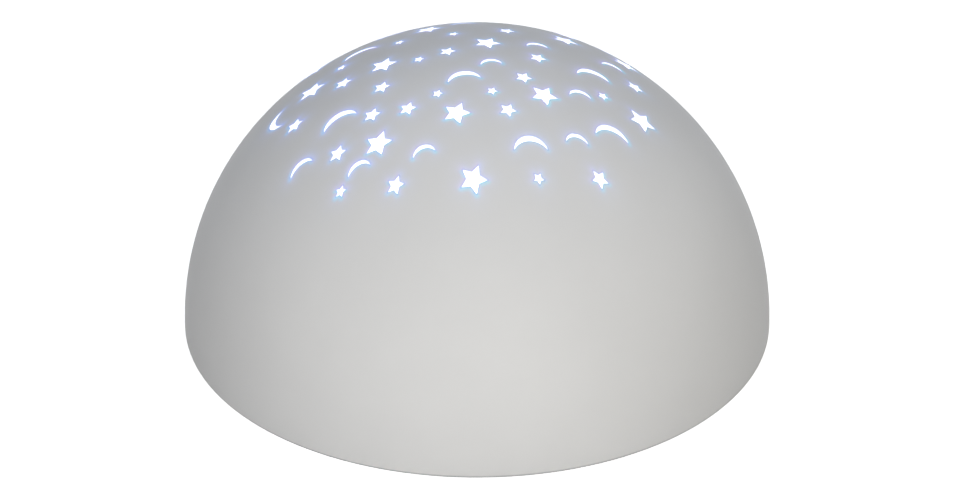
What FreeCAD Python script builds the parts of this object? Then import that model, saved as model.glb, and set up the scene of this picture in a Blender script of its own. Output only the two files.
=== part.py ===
import FreeCAD, Part
import math
import os
from types import SimpleNamespace

import Sketcher

# A half-round star light. Millimetres, +Z up, front towards -Y.
# The origin is the middle of the light on the surface that its feet stand on.

Vector = FreeCAD.Vector
doc = FreeCAD.newDocument("star_light")
sheet = doc.addObject("Spreadsheet::Sheet", "Sizes")

SIZES = {
    # Dome
    "dome_radius": 60,
    "dome_wall": 2,
    "rim_rounding": 0.6,
    "foot_lift": 1.2,
    "post_radius": 3.6,
    "post_inset": 4.4,
    "liner_wall": 0.8,
    "liner_gap": 0.1,
    "liner_margin": 0.6,
    # Windows in the dome
    "star_turn": -4,
    "star_waist": 0.5,
    "large_star": 2.8,
    "medium_star": 1.8,
    "small_star": 1.2,
    "crescent_turn": 10,
    "large_crescent_span": 6.5,
    "large_crescent_rise": 2.85,
    "large_crescent_width": 1.3,
    "small_crescent_span": 4.3,
    "small_crescent_rise": 2,
    "small_crescent_width": 0.9,
    # Floor of the housing
    "tray_floor": 3,
    "tray_recess": 0.8,
    "tray_gap": 0.5,
    "tray_edge": 0.5,
    "boss_radius": 5,
    "boss_rise": 3.2,
    "foot_radius": 4.5,
    "foot_inset": 11,
    "foot_socket": 1,
    "foot_edge": 0.5,
    # Cells and their bay
    "cell_diameter": 14.5,
    "cell_length": 50.5,
    "cell_nub": 1,
    "cell_nub_radius": 2.75,
    "cell_edge": 0.4,
    "cell_gap": 0.4,
    "spring_space": 6.7,
    "spring_radius": 4.4,
    "contact_thickness": 0.4,
    "contact_width": 9,
    "contact_rise": 10,
    "contact_clear": 0.4,
    "tail_width": 2.4,
    "tail_thickness": 0.6,
    "tail_reach": 3.6,
    "bay_wall": 1.6,
    "bay_roof": 1.4,
    "bay_back": 6,
    # Battery door
    "door_thickness": 1.6,
    "door_lap": 1.6,
    "door_gap": 0.25,
    "door_lift": 0.2,
    "door_corner": 2,
    "tongue_reach": 7.4,
    "tongue_width": 13,
    "tongue_extra": 0.6,
    "tab_width": 6,
    "tab_thickness": 1,
    "tab_reach": 2.4,
    "tab_root": 3,
    "tab_play": 0.3,
    "tab_room": 1.4,
    "grip_inset": 3,
    "grip_length": 12,
    "grip_width": 1,
    "grip_pitch": 2.4,
    "grip_depth": 0.5,
    # Screws
    "dome_screw_radius": 1.45,
    "dome_screw_length": 11,
    "dome_head_radius": 2.7,
    "dome_head_height": 1.8,
    "dome_head_depth": 3,
    "screw_play": 0.25,
    "pilot_play": 0.05,
    "door_screw_radius": 1.25,
    "door_screw_length": 3.7,
    "door_head_radius": 2.6,
    "door_head_height": 1.2,
    "door_head_sunk": 0.1,
    "door_swing_play": 0.5,
    "door_screw_room": 1.8,
    "door_boss_wall": 2.75,
    "board_screw_radius": 0.9,
    "board_screw_length": 5,
    "board_head_radius": 1.8,
    "board_head_height": 1.2,
    # Boards and lamps
    "board_thickness": 1.4,
    "chip_length": 8,
    "chip_width": 5,
    "chip_height": 1.6,
    "capacitor_radius": 2.5,
    "capacitor_height": 6,
    "capacitor_side": 10,
    "resistor_length": 2,
    "resistor_width": 1.2,
    "resistor_height": 0.6,
    "control_gap": 2.85,
    "control_length": 44,
    "control_width": 20,
    "control_height": 11,
    "standoff_radius": 2.6,
    "standoff_side": 3,
    "standoff_edge": 3.5,
    "lamp_board_radius": 15,
    "lamp_board_rise": 4,
    "lamp_screw_inset": 3,
    "holder_lug_radius": 2.6,
    "holder_wall": 1.6,
    "lamp_pitch": 8,
    "lamp_radius": 2.5,
    "lamp_flange_radius": 2.9,
    "lamp_flange": 1,
    "lamp_height": 8.6,
    # Slide switch
    "switch_side": 10,
    "switch_length": 14,
    "switch_width": 6,
    "switch_body_rise": 4.6,
    "switch_travel": 2.5,
    "knob_length": 6,
    "knob_width": 5,
    "knob_thickness": 1.1,
    "knob_recess": 1.6,
    "knob_lift": 0.2,
    "knob_play": 0.5,
    "stem_length": 2.4,
    "stem_width": 2,
    "stem_play": 0.4,
    "stem_depth": 1.6,
    "ridge_pitch": 1.6,
    "ridge_width": 0.7,
    "ridge_inset": 1.2,
    "ridge_depth": 0.4,
    # Push button
    "button_side": 11,
    "button_radius": 4,
    "button_play": 0.25,
    "button_sunk": 0.2,
    "button_travel": 0.5,
    "button_flange": 1.3,
    "button_flange_thickness": 0.8,
    "button_flange_lift": 0.3,
    "button_hub_radius": 2.2,
    "button_hub": 0.7,
    "tact_size": 6,
    "tact_rise": 3.2,
    "plunger_radius": 1.7,
    "plunger_play": 0.15,
    "plunger_entry": 0.6,
    # Wires
    "battery_wire_radius": 0.6,
    "lamp_wire_radius": 0.5,
    "lamp_wire_pitch": 1.4,
    "wire_inset": 3,
    "wire_side": 16,
    "battery_wire_swing": 8.4,
    "battery_wire_rise": 8.6,
    "lamp_wire_rise": 7.4,
    "lamp_wire_inset": 3.5,
}

# Centres of the windows seen from above, (x, y). The back rows are the front ones turned half round.
LARGE_STARS = [
    (2.1, 4.7), (-18.3, 0.3), (-32.7, 2.7), (-3.8, -19.3), (13.0, -12.9), (-18.7, -23.1),
    (-0.6, -33.3), (32.2, -9.5), (-9.8, 17.3), (17.8, 14.8), (30.0, 15.0), (-33.0, 18.5),
]
MEDIUM_STARS = [
    (-5.7, 1.0), (12.0, -0.1), (9.1, -8.4), (-18.4, -8.2), (-26.2, -1.3), (-35.6, -7.3),
    (-20.1, -15.6), (-13.2, -16.5), (6.0, -18.4), (-26.6, -21.7), (-15.3, -32.4), (23.4, -28.6),
    (31.4, 2.3), (6.0, 13.4), (-27.5, 23.0),
]
SMALL_STARS = [
    (-11.3, -0.9), (-4.6, 10.5), (-15.4, 10.6), (-26.9, 7.1), (-7.5, -13.7), (3.0, -13.5),
    (24.6, -7.6), (11.7, -32.1), (-25.8, -29.7),
]
# The top of each crescent's arch, and its turn from the common one in degrees
LARGE_CRESCENTS = [
    (-2.8, -7.3, 0), (22.4, 0.9, 0), (-26.8, -11.4, 0), (9.9, -23.9, 0), (25.6, -15.7, 0),
    (-23.6, 14.1, 0), (-41.2, -0.7, 83),
]
SMALL_CRESCENTS = [
    (2.6, -2.7, 0), (11.7, 7.4, 0), (19.8, -8.5, 0), (26.7, 8.9, 0), (18.9, -20.9, 0),
    (-34.0, -18.6, 0), (-22.6, -25.4, 0), (-10.2, -25.8, 0), (-3.0, 22.5, 0), (-18.0, 23.0, 0),
]
FRONT_ROWS = -21.5
STAR_TIPS = 5
FULL_TURN = 360
CORNERS = 4
CELLS = 3
LAMP_COLOURS = ("white", "blue", "green", "red")
LAMP_WIRES = 5
GRIPS = 4
RESISTORS_AT = (-14, -11, -8, 5)
# Shares of a screw head: its rounded edge, and its cross recess
HEAD_EDGE = 1 / 3
CROSS_ARM = 0.6
CROSS_HALF = 0.14
CROSS_DEPTH = 0.6
# Two places nearer than this are one
SAME_PLACE = 1e-6
# A bend takes this share of the shorter run beside it
BEND_SHARE = 0.45


class Amount:
    """A size: its number now, and the expression that works it out from the sheet."""

    def __init__(self, text, number):
        self.text = text
        self.number = float(number)

    def __add__(self, other):
        other = amount(other)
        return Amount(f"({self.text} + {other.text})", self.number + other.number)

    def __sub__(self, other):
        other = amount(other)
        return Amount(f"({self.text} - {other.text})", self.number - other.number)

    def __mul__(self, other):
        other = amount(other)
        return Amount(f"({self.text} * {other.text})", self.number * other.number)

    def __truediv__(self, other):
        other = amount(other)
        return Amount(f"({self.text} / {other.text})", self.number / other.number)

    def __neg__(self):
        return amount(0) - self

    def __radd__(self, other):
        return amount(other) + self

    def __rsub__(self, other):
        return amount(other) - self

    def __rmul__(self, other):
        return amount(other) * self


def amount(thing):
    """Makes an Amount of a plain number, and leaves an Amount as it is."""
    if isinstance(thing, Amount):
        return thing
    return Amount(f"({float(thing)})", thing)


def root(thing):
    return Amount(f"sqrt({thing.text})", math.sqrt(thing.number))


def cosine(angle):
    return Amount(f"cos({angle.text})", math.cos(math.radians(angle.number)))


def sine(angle):
    return Amount(f"sin({angle.text})", math.sin(math.radians(angle.number)))


def about(middle, width):
    """The two ends of a width about its middle."""
    half = amount(width) / 2
    return amount(middle) - half, amount(middle) + half


def fill_sheet():
    """Writes each size and its alias to the sheet, and gives them back as Amounts."""
    for row, (name, number) in enumerate(SIZES.items(), start=1):
        sheet.set(f"A{row}", name)
        sheet.set(f"B{row}", str(number))
        sheet.setAlias(f"B{row}", name)
    doc.recompute()
    return SimpleNamespace(**{name: Amount(f"Sizes.{name}", number) for name, number in SIZES.items()})


size = fill_sheet()
nodes = []


def node(piece):
    """Notes a finished sub-part. Its label names its file."""
    nodes.append(piece)
    return piece


# Primitives and booleans


def place(piece, x=0, y=0, z=0, turn=(Vector(0, 0, 1), 0)):
    """Stands a piece at a point, turned about an axis by degrees."""
    at = [amount(number) for number in (x, y, z)]
    base = Vector(*[number.number for number in at])
    piece.Placement = FreeCAD.Placement(base, FreeCAD.Rotation(*turn))
    for letter, number in zip("xyz", at):
        piece.setExpression(f"Placement.Base.{letter}", number.text)
    return piece


def block(name, x, y, z):
    """A box between two places along each axis."""
    piece = doc.addObject("Part::Box", name)
    for side, (low, high) in zip(("Length", "Width", "Height"), (x, y, z)):
        piece.setExpression(side, (amount(high) - low).text)
    return place(piece, x[0], y[0], z[0])


def rod(name, radius, x, y, z):
    """An upright cylinder between two heights."""
    piece = doc.addObject("Part::Cylinder", name)
    piece.setExpression("Radius", amount(radius).text)
    piece.setExpression("Height", (amount(z[1]) - z[0]).text)
    return place(piece, x, y, z[0])


def ball(name, radius, x, y, z, half=False):
    """A ball, or its upper half."""
    piece = doc.addObject("Part::Sphere", name)
    piece.setExpression("Radius", amount(radius).text)
    if half:
        piece.Angle1 = 0
    return place(piece, x, y, z)


def fuse(name, *pieces):
    piece = doc.addObject("Part::MultiFuse", name)
    piece.Shapes = list(pieces)
    piece.Refine = True
    return piece


def cut(name, base, *tools):
    piece = doc.addObject("Part::Cut", name)
    piece.Base = base
    piece.Tool = tools[0] if len(tools) == 1 else fuse(name + "_tools", *tools)
    return piece


def common(name, *pieces):
    piece = doc.addObject("Part::MultiCommon", name)
    piece.Shapes = list(pieces)
    return piece


def group(name, pieces):
    """Like pieces that share one node."""
    piece = doc.addObject("Part::Compound", name)
    piece.Links = list(pieces)
    return piece


# Sketches and features


def pin_point(sketch, geometry, end, x, y):
    """Ties a point of a sketch to its two coordinates."""
    for kind, along in (("DistanceX", amount(x)), ("DistanceY", amount(y))):
        rule = sketch.addConstraint(Sketcher.Constraint(kind, -1, 1, geometry, end, along.number))
        sketch.setExpression(f"Constraints[{rule}]", along.text)


def pin_radius(sketch, geometry, radius):
    rule = sketch.addConstraint(Sketcher.Constraint("Radius", geometry, radius.number))
    sketch.setExpression(f"Constraints[{rule}]", radius.text)


def draw_outline(sketch, points):
    """A closed outline of straight lines."""
    spots = [Vector(amount(x).number, amount(y).number, 0) for x, y in points]
    first = len(sketch.Geometry)
    count = len(points)
    for index in range(count):
        line = Part.LineSegment(spots[index], spots[(index + 1) % count])
        sketch.addGeometry(line, False)
    for index, (x, y) in enumerate(points):
        following = first + (index + 1) % count
        sketch.addConstraint(Sketcher.Constraint("Coincident", first + index, 2, following, 1))
        pin_point(sketch, first + index, 1, x, y)
    return sketch


def draw_rectangle(sketch, x, y):
    return draw_outline(sketch, [(x[0], y[0]), (x[1], y[0]), (x[1], y[1]), (x[0], y[1])])


def draw_circle(sketch, radius, x=0, y=0):
    middle = Vector(amount(x).number, amount(y).number, 0)
    circle = sketch.addGeometry(Part.Circle(middle, Vector(0, 0, 1), radius.number), False)
    pin_point(sketch, circle, 3, x, y)
    pin_radius(sketch, circle, radius)
    return sketch


def sketch_in(body, name, height=0, role="XY_Plane"):
    """A sketch on one of the body's own planes, lifted by height along the plane's normal."""
    sketch = body.newObject("Sketcher::SketchObject", name)
    plane = next(part for part in body.Origin.OriginFeatures if part.Role == role)
    sketch.AttachmentSupport = [(plane, "")]
    sketch.MapMode = "FlatFace"
    sketch.setExpression("AttachmentOffset.Base.z", amount(height).text)
    return sketch


def pad(body, sketch, length):
    """Adds material upwards from a level sketch."""
    feature = body.newObject("PartDesign::Pad", sketch.Name + "_pad")
    feature.Profile = sketch
    feature.setExpression("Length", amount(length).text)
    doc.recompute()
    return feature


def pocket(body, sketch, depth):
    """Removes material upwards from a level sketch, and makes sure that some went."""
    before = body.Shape.Volume
    feature = body.newObject("PartDesign::Pocket", sketch.Name + "_pocket")
    feature.Profile = sketch
    feature.Reversed = True
    feature.setExpression("Length", amount(depth).text)
    doc.recompute()
    if not body.Shape.Volume < before:
        raise RuntimeError(f"{feature.Name} cuts nothing")
    return feature


def spin(body, sketch):
    """Turns an upright sketch once round the body's Z axis."""
    feature = body.newObject("PartDesign::Revolution", sketch.Name + "_turned")
    feature.Profile = sketch
    feature.ReferenceAxis = (sketch, ["V_Axis"])
    feature.Angle = FULL_TURN
    doc.recompute()
    return feature


def repeat_round(body, name, features, count):
    """Repeats features about the body's Z axis."""
    axis = next(part for part in body.Origin.OriginFeatures if part.Role == "Z_Axis")
    pattern = body.newObject("PartDesign::PolarPattern", name)
    pattern.Originals = features
    pattern.Axis = (axis, [""])
    pattern.Angle = FULL_TURN
    pattern.Occurrences = count
    body.Tip = pattern
    doc.recompute()
    return pattern


def round_edges(body, name, feature, radius, chosen, kind="Fillet"):
    """Rounds or chamfers the edges that chosen picks."""
    edges = [f"Edge{index}" for index, edge in enumerate(feature.Shape.Edges, start=1) if chosen(edge)]
    rounded = body.newObject(f"PartDesign::{kind}", name)
    rounded.Base = (feature, edges)
    rounded.setExpression("Radius" if kind == "Fillet" else "Size", amount(radius).text)
    doc.recompute()
    return rounded


def upright(edge):
    return math.hypot(edge.BoundBox.XLength, edge.BoundBox.YLength) < SAME_PLACE


def at_height(height):
    """Picks the edges that lie flat at one height."""
    def chosen(edge):
        box = edge.BoundBox
        return max(abs(box.ZMin - height.number), abs(box.ZMax - height.number)) < SAME_PLACE
    return chosen


def turned(name, outline):
    """A round body from half its section, as (radius, height) points."""
    body = doc.addObject("PartDesign::Body", name)
    sketch = sketch_in(body, name + "_section", role="XZ_Plane")
    draw_outline(sketch, outline)
    spin(body, sketch)
    return body


def screw(name, head_radius, head_height, shank_radius, length):
    """A pan-head screw with a cross recess: head from z = 0, shank above it."""
    tip = shank_radius / 2
    end = head_height + length
    edge = head_height * HEAD_EDGE
    section = [
        (0, 0), (head_radius - edge, 0), (head_radius, edge), (head_radius, head_height),
        (shank_radius, head_height), (shank_radius, end - tip), (tip, end), (0, end),
    ]
    body = turned(name, section)
    arm = head_radius * CROSS_ARM
    half = head_radius * CROSS_HALF
    cross = [
        (-arm, -half), (-half, -half), (-half, -arm), (half, -arm), (half, -half), (arm, -half),
        (arm, half), (half, half), (half, arm), (-half, arm), (-half, half), (-arm, half),
    ]
    pocket(body, draw_outline(sketch_in(body, name + "_cross"), cross), head_height * CROSS_DEPTH)
    return body


def round_corners(radius, start=0):
    """Four points on a circle, the first at an angle in degrees."""
    points = []
    for index in range(CORNERS):
        angle = math.radians(start + index * FULL_TURN / CORNERS)
        points.append((radius * round(math.cos(angle), 9), radius * round(math.sin(angle), 9)))
    return points


# Heights and places that several pieces share

rim = size.foot_lift
dome_inside = size.dome_radius - size.dome_wall
tray_bottom = rim + size.tray_recess
tray_top = tray_bottom + size.tray_floor
tray_radius = dome_inside - size.tray_gap
boss_top = tray_top + size.boss_rise
screw_circle = dome_inside - size.post_inset - size.post_radius
foot_circle = size.dome_radius - size.foot_inset
DIAGONAL = 45

door_top = tray_bottom + size.door_thickness
cell_radius = size.cell_diameter / 2
cell_middle = door_top + size.cell_gap + cell_radius
cell_pitch = size.cell_diameter + size.cell_gap
bay_ceiling = cell_middle + cell_radius + size.cell_gap
bay_top = bay_ceiling + size.bay_roof
bay_half = (size.cell_length + size.spring_space) / 2 + size.contact_thickness
bay_width = CELLS * size.cell_diameter + (CELLS + 1) * size.cell_gap
cell_rows = [size.bay_back + (index - (CELLS - 1) / 2) * cell_pitch for index in range(CELLS)]
contact_face = bay_half - size.contact_thickness

door_end = bay_half + size.door_lap
door_width = bay_width + 2 * size.door_lap
ledge = door_top + size.door_lift
tongue_end = door_end + size.tongue_reach
tongue_top = door_top + size.tongue_extra
door_screw_place = door_end + size.tongue_reach / 2
tab_rows = [size.bay_back - cell_pitch / 2, size.bay_back + cell_pitch / 2]
tab_top = door_top + size.tab_thickness
tab_swing = root(size.tab_reach * size.tab_reach + (tab_top - tray_bottom) * (tab_top - tray_bottom))
slot_low = door_top - size.tab_play
slot_high = tray_bottom + tab_swing + size.tab_play
slot_end = door_end + size.tab_reach + size.tab_play
slot_width = size.tab_width + 2 * size.tab_play
door_screw_end = tray_bottom + size.door_head_sunk + size.door_head_height + size.door_screw_length
contact_low = slot_high + size.contact_clear
tail_height = contact_low + size.contact_rise - size.tail_thickness * 2

board_top = size.control_height + size.board_thickness
bay_front = size.bay_back - bay_width / 2 - size.bay_wall
board_y = bay_front - size.control_gap - size.control_width / 2
standoff_x = size.control_length / 2 - size.standoff_side
standoff_y = board_y - size.control_width / 2 + size.standoff_edge
standoffs = [(side * standoff_x, standoff_y) for side in (-1, 1)]
lamp_board_low = bay_top + size.lamp_board_rise
lamp_board_top = lamp_board_low + size.board_thickness
lamp_screws = [(side * (size.lamp_board_radius - size.lamp_screw_inset), amount(0)) for side in (-1, 1)]
switch_x = -size.switch_side
switch_low = size.control_height - size.switch_body_rise
button_x = size.button_side
tact_low = size.control_height - size.tact_rise


# Dome and liner


def window_star(name, radius):
    """The upright prism of a five-pointed star."""
    points = []
    for index in range(2 * STAR_TIPS):
        reach = radius if index % 2 == 0 else radius * size.star_waist
        angle = size.star_turn + index * FULL_TURN / (2 * STAR_TIPS)
        points.append((reach * cosine(angle), reach * sine(angle)))
    sketch = doc.addObject("Sketcher::SketchObject", name + "_outline")
    return window_prism(name, draw_outline(sketch, points))


def window_crescent(name, span, rise, width):
    """The upright prism of a crescent between two arcs, with the top of its arch at the origin."""
    sketch = doc.addObject("Sketcher::SketchObject", name + "_outline")
    half = span / 2
    arches = [rise, rise - width]
    tips = [Vector(-half.number, -rise.number, 0), Vector(half.number, -rise.number, 0)]
    for arch in arches:
        top = Vector(0, arch.number - rise.number, 0)
        sketch.addGeometry(Part.Arc(tips[1], top, tips[0]), False)
    for end in (1, 2):
        sketch.addConstraint(Sketcher.Constraint("Coincident", 0, end, 1, end))
    pin_point(sketch, 0, 1, half, -rise)
    pin_point(sketch, 0, 2, -half, -rise)
    for index, arch in enumerate(arches):
        pin_radius(sketch, index, (half * half + arch * arch) / (2 * arch))
    return window_prism(name, sketch)


def window_prism(name, sketch):
    prism = doc.addObject("Part::Extrusion", name)
    prism.Base = sketch
    prism.DirMode = "Normal"
    prism.setExpression("LengthFwd", (size.dome_radius + size.foot_lift * 2).text)
    prism.Solid = True
    return prism


def both_rows(places, rise=0):
    """The places, and the front rows again at the back, turned half round about each window's middle."""
    return places + [(-x, rise - y, *rest) for x, y, *rest in places if y <= FRONT_ROWS]


def window_cutters():
    """Every star and crescent as one tool."""
    kinds = [
        (window_star("large_star_window", size.large_star), LARGE_STARS),
        (window_star("medium_star_window", size.medium_star), MEDIUM_STARS),
        (window_star("small_star_window", size.small_star), SMALL_STARS),
    ]
    kinds = [(prism, [(x, y, 0) for x, y in both_rows(places)]) for prism, places in kinds]
    large = (size.large_crescent_span, size.large_crescent_rise, size.large_crescent_width)
    small = (size.small_crescent_span, size.small_crescent_rise, size.small_crescent_width)
    crescents = [("large", large, LARGE_CRESCENTS), ("small", small, SMALL_CRESCENTS)]
    for name, (span, rise, width), places in crescents:
        prism = window_crescent(f"{name}_crescent_window", span, rise, width)
        lean = size.crescent_turn.number
        kinds.append((prism, [(x, y, lean + turn) for x, y, turn in both_rows(places, rise.number)]))
    doc.recompute()
    copies = []
    for prism, places in kinds:
        for x, y, turn in places:
            copy = prism.Shape.copy()
            copy.rotate(Vector(0, 0, 0), Vector(0, 0, 1), turn)
            copy.translate(Vector(x, y, 0))
            copies.append(copy)
    tool = doc.addObject("Part::Feature", "window_cutters")
    tool.Shape = Part.Compound(copies)
    tool.setExpression("Placement.Base.z", size.foot_lift.text)
    return tool


def dome_shell():
    """The plain half-round shell with its rounded rim."""
    body = doc.addObject("PartDesign::Body", "dome_shell")
    plane = next(part for part in body.Origin.OriginFeatures if part.Role == "XY_Plane")
    for kind, name, radius in (
        ("AdditiveSphere", "dome_outside", size.dome_radius),
        ("SubtractiveSphere", "dome_hollow", dome_inside),
    ):
        feature = body.newObject(f"PartDesign::{kind}", name)
        feature.AttachmentSupport = [(plane, "")]
        feature.MapMode = "FlatFace"
        feature.setExpression("AttachmentOffset.Base.z", rim.text)
        feature.setExpression("Radius", radius.text)
        if kind == "AdditiveSphere":
            feature.Angle1 = 0
        doc.recompute()

    def outer_rim(edge):
        return at_height(rim)(edge) and edge.BoundBox.XMax > dome_inside.number + SAME_PLACE

    round_edges(body, "rounded_rim", feature, size.rim_rounding, outer_rim)
    return body


def make_dome():
    """The shell with its four screw posts and its windows."""
    inner_ball = ball("post_limit", size.dome_radius - size.dome_wall / 2, 0, 0, rim)
    posts = []
    pilots = []
    pilot_end = boss_top + size.dome_screw_length
    for index, (x, y) in enumerate(round_corners(screw_circle, DIAGONAL)):
        posts.append(rod(f"post_{index + 1}", size.post_radius, x, y, (boss_top, size.dome_radius)))
        radius = size.dome_screw_radius + size.pilot_play
        pilots.append(rod(f"post_pilot_{index + 1}", radius, x, y, (boss_top, pilot_end)))
    trimmed = common("trimmed_posts", fuse("tall_posts", *posts), inner_ball)
    shell = fuse("dome_with_posts", dome_shell(), trimmed)
    drilled = cut("drilled_dome", shell, *pilots)
    node(cut("star_dome", drilled, window_cutters()))


def make_liner():
    """The clear cap behind the windows."""
    outside = dome_inside - size.liner_gap
    reach = screw_circle - size.post_radius - size.liner_margin
    cap = cut(
        "liner_shell",
        ball("liner_outside", outside, 0, 0, rim, half=True),
        ball("liner_inside", outside - size.liner_wall, 0, 0, rim),
    )
    node(common("clear_liner", cap, rod("liner_reach", reach, 0, 0, (rim, size.dome_radius + rim))))


# Tray


def tray_bosses(body):
    """What stands on the tray's floor."""
    bay = sketch_in(body, "bay_outside", tray_bottom)
    walls = 2 * size.bay_wall
    draw_rectangle(bay, about(0, 2 * bay_half + walls), about(size.bay_back, bay_width + walls))
    pad(body, bay, bay_top - tray_bottom)
    screw_boss = sketch_in(body, "door_screw_boss", tray_bottom)
    draw_circle(screw_boss, size.door_screw_radius + size.door_boss_wall, -door_screw_place, size.bay_back)
    pad(body, screw_boss, door_screw_end + size.door_screw_room + size.bay_wall - tray_bottom)
    for index, row in enumerate(tab_rows):
        hood = sketch_in(body, f"tab_hood_{index + 1}", tray_bottom)
        draw_rectangle(hood, (bay_half, slot_end + size.bay_wall), about(row, slot_width + walls))
        pad(body, hood, slot_high + size.tab_room - tray_bottom)
    for index, (x, y) in enumerate(standoffs):
        standoff = sketch_in(body, f"standoff_{index + 1}", tray_bottom)
        draw_circle(standoff, size.standoff_radius, x, y)
        pad(body, standoff, size.control_height - tray_bottom)
    x, y = round_corners(screw_circle, DIAGONAL)[0]
    ring = draw_circle(sketch_in(body, "dome_boss", tray_bottom), size.boss_radius, x, y)
    repeat_round(body, "dome_bosses", [pad(body, ring, boss_top - tray_bottom)], CORNERS)


def sliding_room(length, width, play):
    """The room that a sliding piece of the switch needs over its travel, as x and y ranges."""
    return about(switch_x, length + 2 * (size.switch_travel + play)), about(board_y, width + 2 * play)


def tray_openings(body):
    """The bay, the door's recess and the openings of the controls."""
    bay = draw_rectangle(
        sketch_in(body, "bay_inside", tray_bottom), about(0, 2 * bay_half), about(size.bay_back, bay_width)
    )
    pocket(body, bay, bay_ceiling - tray_bottom)
    recess = sketch_in(body, "door_recess", tray_bottom)
    draw_outline(recess, door_outline(size.door_gap))
    pocket(body, recess, ledge - tray_bottom)
    tongue = sketch_in(body, "tongue_recess", tray_bottom)
    reach = (-(tongue_end + size.door_gap), -(door_end + size.door_gap))
    draw_rectangle(tongue, reach, about(size.bay_back, size.tongue_width + 2 * size.door_gap))
    pocket(body, tongue, tongue_top + size.door_lift - tray_bottom)
    for index, row in enumerate(tab_rows):
        slot = sketch_in(body, f"tab_slot_{index + 1}", slot_low)
        draw_rectangle(slot, (bay_half - size.tab_root, slot_end), about(row, slot_width))
        pocket(body, slot, slot_high - slot_low)
    hole = sketch_in(body, "door_screw_hole", tray_bottom)
    draw_circle(hole, size.door_screw_radius + size.door_swing_play, -door_screw_place, size.bay_back)
    pocket(body, hole, door_screw_end + size.door_screw_room - tray_bottom)
    knob = sketch_in(body, "knob_recess", tray_bottom)
    draw_rectangle(knob, *sliding_room(size.knob_length, size.knob_width, size.knob_play))
    pocket(body, knob, size.knob_recess)
    slot = sketch_in(body, "stem_slot", tray_bottom)
    draw_rectangle(slot, *sliding_room(size.stem_length, size.stem_width, size.stem_play))
    pocket(body, slot, size.tray_floor)
    button = sketch_in(body, "button_hole", tray_bottom)
    draw_circle(button, size.button_radius + size.button_play, button_x, board_y)
    pocket(body, button, size.tray_floor)
    for name, row, low, high in (
        ("red_tail_slot", cell_rows[0], bay_half, bay_half + size.bay_wall),
        ("black_tail_slot", cell_rows[-1], -bay_half - size.bay_wall, -bay_half),
    ):
        slot = sketch_in(body, name, tail_height - size.door_gap)
        draw_rectangle(slot, (low, high), about(row, size.tail_width + 2 * size.door_gap))
        pocket(body, slot, size.tail_thickness + 2 * size.door_gap)


def tray_holes(body):
    """Screw holes and the sockets of the feet."""
    for index, (x, y) in enumerate(standoffs):
        hole = sketch_in(body, f"standoff_hole_{index + 1}", size.control_height - size.board_screw_length)
        draw_circle(hole, size.board_screw_radius + size.pilot_play, x, y)
        pocket(body, hole, size.board_screw_length)
    x, y = round_corners(screw_circle, DIAGONAL)[0]
    through = draw_circle(
        sketch_in(body, "dome_screw_hole", tray_bottom), size.dome_screw_radius + size.screw_play, x, y
    )
    sunk = draw_circle(
        sketch_in(body, "dome_screw_sink", tray_bottom), size.dome_head_radius + size.screw_play * 2, x, y
    )
    drilled = [pocket(body, through, boss_top - tray_bottom), pocket(body, sunk, size.dome_head_depth)]
    repeat_round(body, "dome_screw_holes", drilled, CORNERS)
    socket = sketch_in(body, "foot_socket_outline", tray_bottom)
    draw_circle(socket, size.foot_radius + size.screw_play, foot_circle, 0)
    repeat_round(body, "foot_sockets", [pocket(body, socket, size.foot_socket)], CORNERS)


def door_outline(gap=0):
    """The door's outline with its screw tongue, grown by a gap."""
    gap = amount(gap)
    near, far = about(size.bay_back, door_width + 2 * gap)
    tongue_near, tongue_far = about(size.bay_back, size.tongue_width + 2 * gap)
    front = door_end + gap
    tip = tongue_end + gap
    return [
        (front, near), (front, far), (-front, far), (-front, tongue_far),
        (-tip, tongue_far), (-tip, tongue_near), (-front, tongue_near), (-front, near),
    ]


def make_tray():
    body = doc.addObject("PartDesign::Body", "base_tray")
    floor = draw_circle(sketch_in(body, "floor_outline", tray_bottom), tray_radius)
    plate = pad(body, floor, size.tray_floor)
    round_edges(body, "floor_edge", plate, size.tray_edge, at_height(tray_bottom), "Chamfer")
    tray_bosses(body)
    tray_openings(body)
    tray_holes(body)
    node(body)


def make_door():
    body = doc.addObject("PartDesign::Body", "battery_door")
    sheet_outline = draw_outline(sketch_in(body, "door_panel", tray_bottom), door_outline())
    panel = pad(body, sheet_outline, size.door_thickness)

    def outer_corner(edge):
        reach = abs(edge.BoundBox.YMin - size.bay_back.number)
        return upright(edge) and abs(reach - door_width.number / 2) < SAME_PLACE

    round_edges(body, "door_corners", panel, size.door_corner, outer_corner)
    tongue = sketch_in(body, "door_tongue", door_top)
    inner = door_end + 2 * size.door_gap
    draw_rectangle(tongue, (-tongue_end, -inner), about(size.bay_back, size.tongue_width))
    pad(body, tongue, size.tongue_extra)
    for index, row in enumerate(tab_rows):
        tab = sketch_in(body, f"door_tab_{index + 1}", door_top)
        inner = bay_half - size.tab_root + 2 * size.tab_play
        draw_rectangle(tab, (inner, door_end + size.tab_reach), about(row, size.tab_width))
        pad(body, tab, size.tab_thickness)
    grips = sketch_in(body, "door_grips", tray_bottom)
    for step in range(GRIPS):
        low = size.grip_inset + step * size.grip_pitch - bay_half
        draw_rectangle(grips, (low, low + size.grip_width), about(size.bay_back, size.grip_length))
    pocket(body, grips, size.grip_depth)
    hole = sketch_in(body, "captive_hole", tray_bottom)
    draw_circle(hole, size.door_screw_radius + size.screw_play, -door_screw_place, size.bay_back)
    pocket(body, hole, tongue_top - tray_bottom)
    sink = sketch_in(body, "captive_sink", tray_bottom)
    draw_circle(sink, size.door_head_radius + size.screw_play, -door_screw_place, size.bay_back)
    pocket(body, sink, size.door_head_sunk + size.door_head_height)
    node(body)


# Screws and feet


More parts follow.
